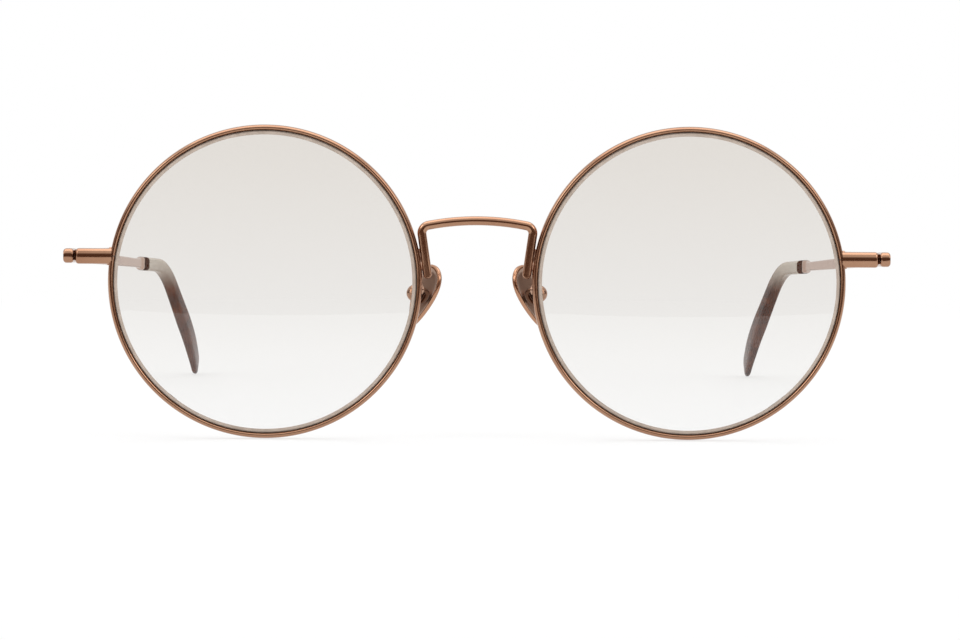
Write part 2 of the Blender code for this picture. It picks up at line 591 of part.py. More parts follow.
def make_temple(side, metal, dark, acetate):
    name = side_name(side)
    path = temple_stations()
    grown = path["bar"][-1][0] - path["set_in"][-1][0]

    # Bar: rounded head, even taper, flared collar, then the core wire.
    head_size = (HEAD_WIDTH / 2, HEAD_HEIGHT / 2)
    first = path["head"][0]
    nose = (first[0], first[1] + first[2] * HEAD_NOSE, first[2])
    rings = [ring_at(first, head_size[0] * 0.72, head_size[1] * 0.78),
             ring_at(nose, head_size[0] * 0.96, head_size[1] * 0.97)]
    rings += [ring_at(station, *head_size) for station in path["head"][1:]]
    for k, station in enumerate(path["set_in"]):
        part = (k + 1) / len(path["set_in"])
        width = (HEAD_WIDTH + (BAR_WIDTH - HEAD_WIDTH) * part) / 2
        rings.append(ring_at(station, width, HEAD_HEIGHT / 2 * (1 - 0.08 * part)))
    for station in path["bar"]:
        part = (station[0] - path["set_in"][-1][0]) / grown
        height = HEAD_HEIGHT * 0.92 + (BAR_HEIGHT - HEAD_HEIGHT * 0.92) * part
        rings.append(ring_at(station, BAR_WIDTH / 2, height / 2))
    collar = path["collar"][-1]
    flare = path["bar"][-1]
    halfway = (0.0, flare[1] + (collar[1] - flare[1]) * 0.6, flare[2])
    rings.append(ring_at(halfway, (BAR_WIDTH + COLLAR_WIDTH) / 4, (BAR_HEIGHT + COLLAR_HEIGHT) / 4))
    rings.append(ring_at(collar, COLLAR_WIDTH / 2, COLLAR_HEIGHT / 2))
    tip_path = path["straight"] + path["bend"] + path["leg"]
    core_end = int(len(tip_path) * CORE_REACH)
    core = [collar] + path["ring"] + tip_path[:core_end]
    rings += [ring_at(station, CORE_RADIUS, CORE_RADIUS, 2.0) for station in core]
    bar = add_object(name + "_temple", skin(rings), side, metal)

    # Ring: a short dark sleeve on the core wire.
    hole = CORE_RADIUS + SEAT_GAP
    step = collar[2] * SOLDER_GAP
    ring_start = (0, collar[1] + step, collar[2])
    ring_end = (0, path["ring"][-1][1] - step, path["ring"][-1][2])
    sleeve = [ring_at(ring_start, hole, hole, 2.0),
              ring_at(ring_start, RING_WIDTH / 2, RING_HEIGHT / 2),
              ring_at(ring_end, RING_WIDTH / 2, RING_HEIGHT / 2),
              ring_at(ring_end, hole, hole, 2.0)]
    ring = add_object(name + "_temple_ring", skin(sleeve, loop=True), side, dark)

    # Tip: the bore first, from its blind end to the mouth, then the outside back to the end.
    mouth = (path["ring"][-1][0], path["ring"][-1][1], path["ring"][-1][2])
    blind = tip_path[core_end]
    rings = [ring_at(blind, hole * 0.6, hole * 0.6, 2.0)]
    rings += [ring_at(station, hole, hole, 2.0) for station in reversed(tip_path[:core_end])]
    rings.append(ring_at(mouth, hole, hole, 2.0))
    rings.append(ring_at(mouth, RING_WIDTH / 2, RING_HEIGHT / 2))
    bend_start = path["straight"][-1][0]
    bend_end = path["bend"][-1][0]
    leg_end = path["leg"][-1][0]
    for station in tip_path:
        distance = station[0]
        if distance <= bend_start:
            part = (distance - mouth[0]) / (bend_start - mouth[0])
            width = RING_WIDTH + (TIP_THICKNESS - RING_WIDTH) * part
            height = RING_HEIGHT
        elif distance <= bend_end:
            part = (distance - bend_start) / (bend_end - bend_start)
            width = TIP_THICKNESS
            height = RING_HEIGHT + (TIP_BEND_HEIGHT - RING_HEIGHT) * part
        else:
            part = (distance - bend_end) / (leg_end - bend_end)
            width = TIP_THICKNESS - (TIP_THICKNESS - PADDLE_THIN) * max(part - 0.45, 0) / 0.55
            height = TIP_BEND_HEIGHT + (PADDLE_HEIGHT - TIP_BEND_HEIGHT) * min(part * 1.25, 1.0) ** 1.4
        rings.append(ring_at(station, width / 2, height / 2))
    last = tip_path[-1]
    for k in range(1, 5):
        angle = math.pi / 2 * k / 5
        station = (0, last[1] + last[2] * (PADDLE_END * math.sin(angle)), last[2])
        thin = PADDLE_THIN / 2 * math.cos(angle) ** 0.9
        rings.append(ring_at(station, thin, PADDLE_HEIGHT / 2 * math.cos(angle), 2.2))
    rings.append([last[1] + last[2] * PADDLE_END])
    tip = add_object(name + "_temple_tip", skin(rings), side, acetate)
    return [bar, ring, tip]


def pad_frame():
    """Pivot, and the directions out of the pad's front, across it and along it."""
    lean = math.radians(PAD_LEAN)
    splay = math.radians(PAD_SPLAY)
    along = Vector((-math.sin(lean), 0, math.cos(lean)))
    across = Vector((math.sin(splay), math.cos(splay), 0))
    across = (across - along * across.dot(along)).normalized()
    outward = across.cross(along)
    middle = Vector((lens_x - rim_outer - PAD_BESIDE, RIM_DEPTH + PAD_BACK, lens_z - PAD_DROP))
    standoff = PAD_THICKNESS / 2 + SOLDER_GAP + BOX_RADIUS
    return middle + outward * standoff, standoff, outward, across, along


def make_pad(side, metal, screw_metal):
    name = side_name(side)
    centre, standoff, outward, across, along = pad_frame()

    def place(out, side_way, up):
        return centre + outward * out + across * side_way + along * up

    # Plate: an egg-shaped outline, crowned towards the nose.
    facets = 24
    rings = []
    for share, out in ((0.0, -PAD_CROWN), (0.55, -PAD_CROWN * 0.6), (0.93, -0.05 * MM),
                       (1.0, PAD_THICKNESS * 0.35), (0.97, PAD_THICKNESS * 0.8),
                       (0.84, PAD_THICKNESS), (0.0, PAD_THICKNESS)):
        out = out - standoff - PAD_THICKNESS / 2
        if share == 0:
            rings.append([place(out, 0, 0)])
            continue
        ring = []
        for k in range(facets):
            angle = 2 * math.pi * k / facets
            up = math.sin(angle)
            wide = math.cos(angle) * (1 + PAD_TAPER * up)
            ring.append(place(out, PAD_WIDTH / 2 * share * wide, PAD_LENGTH / 2 * share * up))
        rings.append(ring)
    pad = add_object(name + "_nose_pad", skin(rings), side, metal)

    # Stud on the pad's front, rounded about the screw.
    stud = []
    steps = 8
    for k in range(steps + 1):
        angle = -math.pi / 2 + math.pi * k / steps
        stud.append((STUD_HALF_WIDTH * math.cos(angle), STUD_HALF_WIDTH * math.sin(angle)))
    root = -standoff - PAD_THICKNESS * 0.1
    stud += [(root, STUD_HALF_WIDTH), (root, -STUD_HALF_WIDTH)]
    half = STUD_HEIGHT / 2
    stud_piece = add_object(name + "_pad_stud",
                            skin([[place(out, wide, up) for out, wide in stud] for up in (-half, half)]), side)
    eye = [(PAD_SCREW + RUN_GAP, -STUD_HEIGHT), (PAD_SCREW + RUN_GAP, STUD_HEIGHT)]
    eye_cutter = add_object(name + "_pad_eye", turned(eye, centre, along, SCREW_FACETS), side)
    combine(pad, stud_piece, "UNION")
    combine(pad, eye_cutter, "DIFFERENCE")

    # Box: a ball with a slot for the stud, a bore for the screw and a seat for its head.
    profile = [(0, -BOX_RADIUS)]
    for k in range(1, 9):
        angle = math.pi * k / 9
        profile.append((BOX_RADIUS * math.sin(angle), -BOX_RADIUS * math.cos(angle)))
    profile.append((0, BOX_RADIUS))
    box = add_object(name + "_pad_box", turned(profile, centre, along, 20), side, metal)
    gap = half + KNUCKLE_GAP
    wide = 1.2 * BOX_RADIUS
    depth = STUD_HALF_WIDTH + BOX_SLOT_ROOM
    mouth = [(-1.3 * BOX_RADIUS, -wide), (depth, -wide), (depth, wide), (-1.3 * BOX_RADIUS, wide)]
    slot = add_object(name + "_pad_slot",
                      skin([[place(out, way, up) for out, way in mouth] for up in (-gap, gap)]), side)
    seat = BOX_RADIUS * 0.72
    bore = [(PAD_SCREW + RUN_GAP, -1.2 * BOX_RADIUS), (PAD_SCREW + RUN_GAP, seat),
            (PAD_SCREW_HEAD + PAD_HEAD_ROOM, seat), (PAD_SCREW_HEAD + PAD_HEAD_ROOM, 1.5 * BOX_RADIUS)]
    bore_cutter = add_object(name + "_pad_bore", turned(bore, centre, along, SCREW_FACETS), side)
    combine(box, slot, "DIFFERENCE")
    combine(box, bore_cutter, "DIFFERENCE")

    low = -BOX_RADIUS * 0.85
    rest = seat + SEAT_CLEARANCE
    profile = [(0, low), (PAD_SCREW, low), (PAD_SCREW, rest), (PAD_SCREW_HEAD, rest),
               (PAD_SCREW_HEAD, rest + PAD_SCREW_HEAD_HEIGHT * 0.7),
               (PAD_SCREW_HEAD * 0.7, rest + PAD_SCREW_HEAD_HEIGHT), (0, rest + PAD_SCREW_HEAD_HEIGHT)]
    add_object(name + "_pad_screw", turned(profile, centre, along, SCREW_FACETS), side, screw_metal)

    # Arm: out of the rim's nose side, looped back to the ball.
    rim_angle = math.radians(ARM_ANGLE)
    turn = math.radians(ARM_ROOT_TURN)
    square = Vector((math.cos(turn) / RIM_WIDTH, math.sin(turn) / RIM_DEPTH)).normalized()
    reach = rim_middle + RIM_WIDTH / 2 * math.cos(turn) + ARM_ROOT_GAP * square.x
    root = Vector((lens_x + reach * math.cos(rim_angle),
                   rim_plane + RIM_DEPTH / 2 * math.sin(turn) + ARM_ROOT_GAP * square.y,
                   lens_z + reach * math.sin(rim_angle)))
    toward = (outward * 0.11 - across * 0.86 - along * 0.51).normalized()
    end = centre + toward * (BOX_RADIUS + SOLDER_GAP + ARM_END_GAP)
    leave = root + ARM_LEAVE
    arrive = end + toward * ARM_ARRIVE
    route = []
    for k in range(ARM_STEPS + 1):
        t = k / ARM_STEPS
        route.append(root * (1 - t) ** 3 + leave * (3 * t * (1 - t) ** 2) + arrive * (3 * t * t * (1 - t))
                     + end * t ** 3)
    add_object(name + "_pad_arm", wire(route, ARM_WIRE, ARM_FACETS), side, metal)
    return pad, centre, along


def hang_on_axis(name, place, axis, things, side):
    """An empty on the joint's axis carries the pieces that turn about it."""
    holder = bpy.data.objects.new(name, None)
    bpy.context.collection.objects.link(holder)
    up = Vector((axis.x * side, axis.y, axis.z))
    turn = Vector((0, 0, 1)).rotation_difference(up)
    holder.matrix_world = Matrix.LocRotScale(Vector((place.x * side, place.y, place.z)), turn, None)
    holder.empty_display_size = 3 * MM
    for thing in things:
        thing.parent = holder
        thing.matrix_parent_inverse = holder.matrix_world.inverted()


def centre_front_to_back():
    """Slide everything along Y until the overall box is centred on the origin."""
    bpy.context.view_layer.update()
    shown = [thing for thing in bpy.data.objects if thing.type == "MESH" and not thing.hide_render]
    depths = [vert.co.y for thing in shown for vert in thing.data.vertices]
    shift = (min(depths) + max(depths)) / 2
    for thing in bpy.data.objects:
        if thing.parent is None:
            thing.location.y -= shift


def build():
    clear_scene()
    make_bridge(finish("bridge", COPPER, 1.0, 0.25))
    for side in (-1, 1):
        name = side_name(side)
        make_rim(side, finish(name + "_rim", COPPER, 1.0, 0.22))
        make_lens(side, finish(name + "_lens", CLEAR, 0.0, 0.03))
        make_endpiece(side, finish(name + "_endpiece", COPPER, 1.0, 0.25))
        make_closing_block(side, finish(name + "_block", COPPER, 1.0, 0.3),
                           finish(name + "_closing_screw", SCREW_METAL, 1.0, 0.3))
        tongue = make_hinge(side, finish(name + "_hinge", COPPER, 1.0, 0.3),
                            finish(name + "_hinge_screw", SCREW_METAL, 1.0, 0.3))
        turning = make_temple(side, finish(name + "_temple", COPPER, 1.0, 0.3),
                              finish(name + "_ring", DARK_BROWN, 0.0, 0.2),
                              finish(name + "_tip", ACETATE, 0.0, 0.2))
        hang_on_axis(name + "_temple_axis", pivot, hinge_axis, [tongue] + turning, side)
        pad, centre, along = make_pad(side, finish(name + "_pad", COPPER, 1.0, 0.3),
                                      finish(name + "_pad_screw", SCREW_METAL, 1.0, 0.3))
        hang_on_axis(name + "_pad_axis", centre, along, [pad], side)
    centre_front_to_back()


build()
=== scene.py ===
import json
import math

import bpy
from mathutils import Matrix, Vector


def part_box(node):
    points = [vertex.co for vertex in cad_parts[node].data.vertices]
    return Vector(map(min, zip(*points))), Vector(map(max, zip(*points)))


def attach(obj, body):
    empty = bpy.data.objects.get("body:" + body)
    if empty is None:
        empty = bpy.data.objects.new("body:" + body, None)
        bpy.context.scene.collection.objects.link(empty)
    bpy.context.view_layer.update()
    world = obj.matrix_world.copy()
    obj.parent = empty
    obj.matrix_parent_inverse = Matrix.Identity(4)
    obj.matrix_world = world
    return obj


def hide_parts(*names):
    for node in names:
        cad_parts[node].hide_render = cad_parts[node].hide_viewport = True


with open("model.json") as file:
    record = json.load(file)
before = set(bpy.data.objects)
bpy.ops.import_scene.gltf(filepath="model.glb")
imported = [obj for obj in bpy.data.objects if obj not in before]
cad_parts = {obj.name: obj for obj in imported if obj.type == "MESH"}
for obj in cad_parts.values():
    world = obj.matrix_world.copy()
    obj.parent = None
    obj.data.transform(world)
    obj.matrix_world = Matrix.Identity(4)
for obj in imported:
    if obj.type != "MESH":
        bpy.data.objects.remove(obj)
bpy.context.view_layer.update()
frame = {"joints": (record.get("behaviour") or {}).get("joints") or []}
joints = {joint["name"]: joint for joint in frame["joints"]}
mm = 0.001
degree = math.pi / 180
jointGap = 0.05 * mm  # between pieces that solder or a press fit joins
screwGap = 0.04 * mm  # round a turning screw
seatGap = 0.03 * mm  # under a screw's head
sameSpot = 0.0002 * mm  # vertices closer than this are one
sharp = 0.01 * mm  # slack when vertices are picked by their place
print("frame loaded")


# Hand tools: small steps around the operators that every piece uses

def selectOnly(piece):
    if bpy.context.mode != "OBJECT":
        bpy.ops.object.mode_set(mode="OBJECT")
    bpy.ops.object.select_all(action="DESELECT")
    piece.select_set(True)
    bpy.context.view_layer.objects.active = piece


def nameActive(name):
    piece = bpy.context.object
    piece.name = name
    piece.data.name = name
    return piece


def applyPlace(piece):
    selectOnly(piece)
    bpy.ops.object.transform_apply(location=True, rotation=True, scale=True)


def addBox(name, place, size):
    bpy.ops.object.select_all(action="DESELECT")
    bpy.ops.mesh.primitive_cube_add(size=1, location=place, scale=size)
    piece = nameActive(name)
    applyPlace(piece)
    return piece


def addRod(name, sides, radius, length, place=(0, 0, 0), turn=(0, 0, 0)):
    bpy.ops.object.select_all(action="DESELECT")
    bpy.ops.mesh.primitive_cylinder_add(vertices=sides, radius=radius, depth=length, location=place,
                                        rotation=turn)
    return nameActive(name)


def pickVertices(piece, test):
    # edit mode again, with only the vertices that pass the test selected
    selectOnly(piece)
    for part in list(piece.data.polygons) + list(piece.data.edges):
        part.select = False
    for vert in piece.data.vertices:
        vert.select = test(vert.co)
    bpy.ops.object.mode_set(mode="EDIT")
    bpy.ops.mesh.select_mode(type="VERT")


def applyModifiers(piece):
    selectOnly(piece)
    for modifier in list(piece.modifiers):
        bpy.ops.object.modifier_apply(modifier=modifier.name)


def cutWith(piece, cutter, operation="DIFFERENCE"):
    # a boolean with a helper that is thrown away
    modifier = piece.modifiers.new("cut", "BOOLEAN")
    modifier.operation = operation
    modifier.solver = "EXACT"
    modifier.object = cutter
    applyModifiers(piece)
    selectOnly(cutter)
    bpy.ops.object.delete()


def softenEdges(piece, width):
    modifier = piece.modifiers.new("soften", "BEVEL")
    modifier.width = width
    modifier.segments = 4
    modifier.limit_method = "ANGLE"
    modifier.angle_limit = 40 * degree
    applyModifiers(piece)


def turnProfile(name, profile, steps, closed=False):
    # a line of (radius, height) points drawn by extruding one vertex, spun about Z
    bpy.ops.object.select_all(action="DESELECT")
    bpy.ops.mesh.primitive_plane_add(size=mm, location=(0, 0, 0))
    piece = nameActive(name)
    bpy.ops.object.mode_set(mode="EDIT")
    bpy.ops.mesh.select_mode(type="VERT")
    bpy.ops.mesh.select_all(action="SELECT")
    bpy.ops.mesh.merge(type="CENTER")
    bpy.ops.transform.translate(value=(profile[0][0], 0, profile[0][1]))
    for here, there in zip(profile, profile[1:]):
        step = (there[0] - here[0], 0, there[1] - here[1])
        bpy.ops.mesh.extrude_region_move(TRANSFORM_OT_translate={"value": step})
    bpy.ops.mesh.select_all(action="SELECT")
    if closed:
        bpy.ops.mesh.edge_face_add()
        bpy.ops.mesh.delete(type="ONLY_FACE")
        bpy.ops.mesh.select_all(action="SELECT")
    bpy.ops.mesh.spin(steps=steps, angle=2 * math.pi, center=(0, 0, 0), axis=(0, 0, 1))
    bpy.ops.mesh.select_all(action="SELECT")
    bpy.ops.mesh.remove_doubles(threshold=sameSpot)
    bpy.ops.object.mode_set(mode="OBJECT")
    return piece


def roundedPlate(name, width, height, corner):
    # a filled rounded rectangle in the XZ plane
    bpy.ops.object.select_all(action="DESELECT")
    bpy.ops.mesh.primitive_plane_add(size=1, location=(0, 0, 0), rotation=(math.pi / 2, 0, 0))
    piece = nameActive(name)
    piece.scale = (width, height, 1)
    applyPlace(piece)
    bpy.ops.object.mode_set(mode="EDIT")
    bpy.ops.mesh.select_all(action="SELECT")
    bpy.ops.mesh.bevel(offset=corner, segments=8, affect="VERTICES")
    bpy.ops.mesh.select_all(action="SELECT")
    return piece


def growAlong(stations):
    # extrudes the selected section along +Y; a station is (distance, width, height) against the first
    lastPlace, lastWidth, lastHeight = stations[0]
    bpy.ops.transform.translate(value=(0, lastPlace, 0))
    bpy.ops.transform.resize(value=(lastWidth, 1, lastHeight), center_override=(0, lastPlace, 0))
    for place, width, height in stations[1:]:
        bpy.ops.mesh.extrude_region_move(TRANSFORM_OT_translate={"value": (0, place - lastPlace, 0)})
        bpy.ops.transform.resize(value=(width / lastWidth, 1, height / lastHeight),
                                 center_override=(0, place, 0))
        lastPlace, lastWidth, lastHeight = place, width, height
    bpy.ops.object.mode_set(mode="OBJECT")


def roundedRoute(corners, radii, steps):
    # straight runs with an arc of its own radius at each inner corner
    route = [corners[0]]
    for before, corner, after, radius in zip(corners, corners[1:], corners[2:], radii):
        toBefore = (before - corner).normalized()
        toAfter = (after - corner).normalized()
        half = toBefore.angle(toAfter) / 2
        centre = corner + (toBefore + toAfter).normalized() * (radius / math.sin(half))
        start = corner + toBefore * (radius / math.tan(half)) - centre
        end = corner + toAfter * (radius / math.tan(half)) - centre
        turn = start.angle(end)
        for k in range(steps + 1):
            fromStart = math.sin((1 - k / steps) * turn) / math.sin(turn)
            fromEnd = math.sin(k / steps * turn) / math.sin(turn)
            route.append(centre + start * fromStart + end * fromEnd)
    route.append(corners[-1])
    return route


def bezierRoute(start, leave, arrive, end, steps):
    route = []
    for k in range(steps + 1):
        t = k / steps
        route.append(start * (1 - t) ** 3 + leave * (3 * t * (1 - t) ** 2)
                     + arrive * (3 * t * t * (1 - t)) + end * t ** 3)
    return route


def drawCurve(name, route):
    bpy.ops.object.select_all(action="DESELECT")
    bpy.ops.curve.primitive_bezier_curve_add(location=(0, 0, 0))
    curve = nameActive(name)
    curve.data.dimensions = "3D"
    curve.data.twist_mode = "Z_UP"
    curve.data.splines.clear()
    spline = curve.data.splines.new("POLY")
    spline.points.add(len(route) - 1)
    for point, place in zip(spline.points, route):
        point.co = (*place, 1)
    return curve


def drawWire(name, route, radius, sides):
    # a round wire that closes in a half ball at both ends
    domeSteps = 6
    smallest = 0.02
    sizes = [1.0] * len(route)
    for end in range(2):
        route = route[::-1]
        sizes = sizes[::-1]
        last = route[-1]
        outward = (last - route[-2]).normalized()
        for k in range(1, domeSteps + 1):
            angle = math.pi / 2 * k / domeSteps
            route = route + [last + outward * (radius * math.sin(angle))]
            sizes = sizes + [max(math.cos(angle), smallest)]
    wire = drawCurve(name, route)
    wire.data.twist_mode = "MINIMUM"
    wire.data.bevel_depth = radius
    wire.data.bevel_resolution = sides
    wire.data.use_fill_caps = True
    for point, size in zip(wire.data.splines[0].points, sizes):
        point.radius = size
    selectOnly(wire)
    bpy.ops.object.convert(target="MESH")
    return nameActive(name)


def standOn(piece, place, axis):
    # turns a piece modelled about Z so that Z runs along the axis, and puts it in place
    turn = Vector((0, 0, 1)).rotation_difference(axis)
    piece.matrix_world = Matrix.LocRotScale(place, turn, None)
    applyPlace(piece)
    return piece


def closeMesh(piece):
    applyPlace(piece)
    bpy.ops.object.mode_set(mode="EDIT")
    bpy.ops.mesh.select_all(action="SELECT")
    bpy.ops.mesh.remove_doubles(threshold=sameSpot)
    bpy.ops.mesh.normals_make_consistent(inside=False)
    bpy.ops.object.mode_set(mode="OBJECT")


def finishPiece(piece, material, body, nodes, smooth=35):
    closeMesh(piece)
    bpy.ops.object.shade_smooth_by_angle(angle=smooth * degree)
    piece.data.materials.clear()
    piece.data.materials.append(material)
    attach(piece, body)
    if nodes:
        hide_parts(*nodes)


def bodyFor(side, part):
    return "front" if part == "front" else side + "_" + part


def finishPair(piece, material, part, nodes=(), smooth=35):
    # the right piece, and its mirror image with a mesh of its own
    name = piece.name
    piece.name = "right" + name
    closeMesh(piece)
    bpy.ops.object.duplicate()
    twin = nameActive("left" + name)
    twin.scale.x = -1
    for side, one in (("right", piece), ("left", twin)):
        finishPiece(one, material, bodyFor(side, part),
                    [side + "_" + node for node in nodes], smooth)


# Finishes

def newGroup(name, inputs, outputs):
    group = bpy.data.node_groups.new(name, "ShaderNodeTree")
    for direction, sockets in (("INPUT", inputs), ("OUTPUT", outputs)):
        for label, kind in sockets:
            group.interface.new_socket(name=label, in_out=direction, socket_type="NodeSocket" + kind)
    return group, group.nodes.new("NodeGroupInput").outputs, group.nodes.new("NodeGroupOutput").inputs


def addNode(tree, kind, values, **settings):
    # a value is a constant or another node's socket; settings belong to the node itself
    node = tree.nodes.new("ShaderNode" + kind)
    for label, setting in settings.items():
        setattr(node, label, setting)
    for label, value in values.items():
        if isinstance(value, bpy.types.NodeSocket):
            tree.links.new(value, node.inputs[label])
        else:
            node.inputs[label].default_value = value
    return node


def objectPlace(tree):
    return tree.nodes.new("ShaderNodeTexCoord").outputs["Object"]


def mixColours(tree, share, first, second):
    values = {"Factor": share, "A": first, "B": second}
    return addNode(tree, "Mix", values, data_type="RGBA").outputs["Result"]


def fadeBetween(tree, value, low, high, **settings):
    values = {"Value": value, "From Min": low, "From Max": high}
    return addNode(tree, "MapRange", values, **settings).outputs["Result"]


def calculate(tree, operation, *values):
    return addNode(tree, "Math", dict(enumerate(values)), operation=operation).outputs[0]


def makeHandlingMarks():
    # slow colour drift of the plating, fine polishing marks and a few rubbed patches
    tree, given, out = newGroup(
        "handlingMarks",
        (("Base", "Color"), ("Drift", "Color"), ("Drift Scale", "Float"), ("Mark Scale", "Float"),
         ("Roughness", "Float"), ("Spread", "Float")),
        (("Color", "Color"), ("Roughness", "Float"), ("Height", "Float")))
    place = objectPlace(tree)
    drift = addNode(tree, "TexNoise", {"Vector": place, "Scale": given["Drift Scale"], "Detail": 3})
    patches = fadeBetween(tree, drift.outputs["Fac"], 0.35, 0.7)
    tree.links.new(mixColours(tree, patches, given["Base"], given["Drift"]), out["Color"])
    marks = addNode(tree, "TexNoise", {"Vector": place, "Scale": given["Mark Scale"], "Detail": 6,
                                       "Roughness": 0.7}).outputs["Fac"]
    centred = calculate(tree, "SUBTRACT", marks, 0.5)
    spread = calculate(tree, "MULTIPLY_ADD", centred, given["Spread"], given["Roughness"])
    tree.links.new(spread, out["Roughness"])
    tree.links.new(marks, out["Height"])
    return tree


def newMaterial(name):
    material = bpy.data.materials.new(name)
    material.use_nodes = True
    return material, material.node_tree, material.node_tree.nodes["Principled BSDF"]


def addMarks(tree, shader, values, strength, depth):
    # the shared marks drive the roughness and a fine relief
    marks = addNode(tree, "Group", values, node_tree=handlingMarks)
    tree.links.new(marks.outputs["Roughness"], shader.inputs["Roughness"])
    bump = addNode(tree, "Bump", {"Strength": strength, "Distance": depth,
                                  "Height": marks.outputs["Height"]})
    tree.links.new(bump.outputs["Normal"], shader.inputs["Normal"])
    return marks


def metalFinish(name, base, drift, roughness, spread, driftScale=160, edge=None):
    material, tree, shader = newMaterial(name)
    shader.inputs["Metallic"].default_value = 1.0
    values = {"Base": (*base, 1), "Drift": (*drift, 1), "Drift Scale": driftScale, "Mark Scale": 2600,
              "Roughness": roughness, "Spread": spread}
    marks = addMarks(tree, shader, values, 0.5, 0.001 * mm)
    colour = marks.outputs["Color"]
    if edge:
        # a smoother border where the piece carries a mask, its brighter copper colour a painted highlight
        # along the pad's lip
        mask = addNode(tree, "Attribute", {}, attribute_name="polished").outputs["Fac"]
        colour = mixColours(tree, mask, colour, (*edge, 1))
        smoother = calculate(tree, "MULTIPLY_ADD", mask, -0.14, marks.outputs["Roughness"])
        tree.links.new(smoother, shader.inputs["Roughness"])
    tree.links.new(colour, shader.inputs["Base Color"])
    return material


def acetateFinish(name, dark, light, roughness, coat, specular, paintedSheen=None, sheenFrom=0, sheenTo=1):
    # plastic with soft streaks along the tips' slope; polished or ground, and it may pale upwards with a
    # painted sheen
    material, tree, shader = newMaterial(name)
    shader.inputs["Coat Weight"].default_value = coat
    shader.inputs["Specular IOR Level"].default_value = specular
    shader.inputs["Coat Roughness"].default_value = 0.06
    place = objectPlace(tree)
    turned = addNode(tree, "Mapping", {"Vector": place, "Rotation": (41 * degree, 0, 0),
                                       "Scale": (1, 0.25, 1)})
    streaks = addNode(tree, "TexNoise", {"Vector": turned.outputs["Vector"], "Scale": 420, "Detail": 4,
                                         "Distortion": 0.6})
    streak = fadeBetween(tree, streaks.outputs["Fac"], 0.32, 0.72)
    colour = mixColours(tree, streak, (*dark, 1), (*light, 1))
    # painted sheen: the colour pales with height, standing in for the reflection at the tip's bend
    if paintedSheen:
        height = addNode(tree, "SeparateXYZ", {"Vector": place}).outputs["Z"]
        share = fadeBetween(tree, height, sheenFrom, sheenTo, interpolation_type="SMOOTHSTEP")
        colour = mixColours(tree, share, colour, (*paintedSheen, 1))
    tree.links.new(colour, shader.inputs["Base Color"])
    addMarks(tree, shader, {"Mark Scale": 1800, "Roughness": roughness, "Spread": 0.1}, 0.4, 0.003 * mm)
    return material


def lensFinish(name, top, bottom, lowest, highest):
    # clear lens with a painted reflection, a darker warm colour at its top that fades downwards; shadow
    # rays pass so that it stays clear
    material, tree, shader = newMaterial(name)
    shader.inputs["Transmission Weight"].default_value = 1.0
    shader.inputs["Roughness"].default_value = 0.0
    shader.inputs["IOR"].default_value = 1.5
    shader.inputs["Specular IOR Level"].default_value = 0.12
    # painted reflection: darker and warmer at the top, nearly clear at the bottom
    height = addNode(tree, "SeparateXYZ", {"Vector": objectPlace(tree)}).outputs["Z"]
    share = fadeBetween(tree, height, lowest, highest)
    tree.links.new(mixColours(tree, share, (*bottom, 1), (*top, 1)), shader.inputs["Base Color"])
    clear = addNode(tree, "BsdfTransparent", {"Color": (0.95, 0.95, 0.95, 1)})
    shadow = tree.nodes.new("ShaderNodeLightPath").outputs["Is Shadow Ray"]
    mix = addNode(tree, "MixShader", {0: shadow, 1: shader.outputs["BSDF"], 2: clear.outputs["BSDF"]})
    tree.links.new(mix.outputs["Shader"], tree.nodes["Material Output"].inputs["Surface"])
    return material


handlingMarks = makeHandlingMarks()
lensLow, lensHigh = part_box("right_lens")
roseGold = metalFinish("roseGold", (0.43, 0.245, 0.155), (0.37, 0.195, 0.12), 0.17, 0.06)
# painted shade: a darkened copy of the frame's gold stands in for the shade round the pad arms
paintedShadeArmGold = metalFinish("paintedShadeArmGold", (0.13, 0.065, 0.04), (0.09, 0.042, 0.025), 0.22, 0.08)
# the pad's border colour is a painted highlight on its lip
padGold = metalFinish("padGold", (0.36, 0.245, 0.185), (0.30, 0.20, 0.15), 0.30, 0.10,
                      edge=(0.46, 0.25, 0.155))
solderGold = metalFinish("solderGold", (0.50, 0.33, 0.24), (0.40, 0.24, 0.17), 0.24, 0.14, driftScale=900)
screwSteel = metalFinish("screwSteel", (0.45, 0.33, 0.26), (0.38, 0.27, 0.21), 0.22, 0.12)
darkSleeve = acetateFinish("darkSleeve", (0.040, 0.010, 0.003), (0.075, 0.022, 0.008), 0.45, 0.0, 0.0)
# the tip's paler top is a painted sheen at its bend
brownAcetate = acetateFinish("brownAcetate", (0.045, 0.011, 0.004), (0.12, 0.038, 0.016), 0.22, 0.02, 0.05,
                             paintedSheen=(0.50, 0.44, 0.37), sheenFrom=0.0175, sheenTo=0.0250)
groundEdge = acetateFinish("groundEdge", (0.44, 0.36, 0.30), (0.56, 0.47, 0.40), 0.6, 0.0, 0.1)
# the lens carries a painted reflection, darker at its top
clearLens = lensFinish("clearLens", (0.78, 0.745, 0.70), (0.915, 0.915, 0.91), lensLow.z, lensHigh.z)
print("finishes made")


# Front: rims, lenses, bridge

rim = {"width": 1.0 * mm, "groove": 0.38 * mm, "slit": 0.16 * mm, "sides": 32, "steps": 240}
rimLow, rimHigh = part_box("right_rim")
rimCentre = (rimLow + rimHigh) / 2
rimOuter = (rimHigh.z - rimLow.z) / 2
rimDepth = rimHigh.y - rimLow.y
endLow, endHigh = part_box("right_endpiece")
hingeHeight = (endLow.z + endHigh.z) / 2
slitAngle = math.asin((hingeHeight - rimCentre.z) / rimOuter)


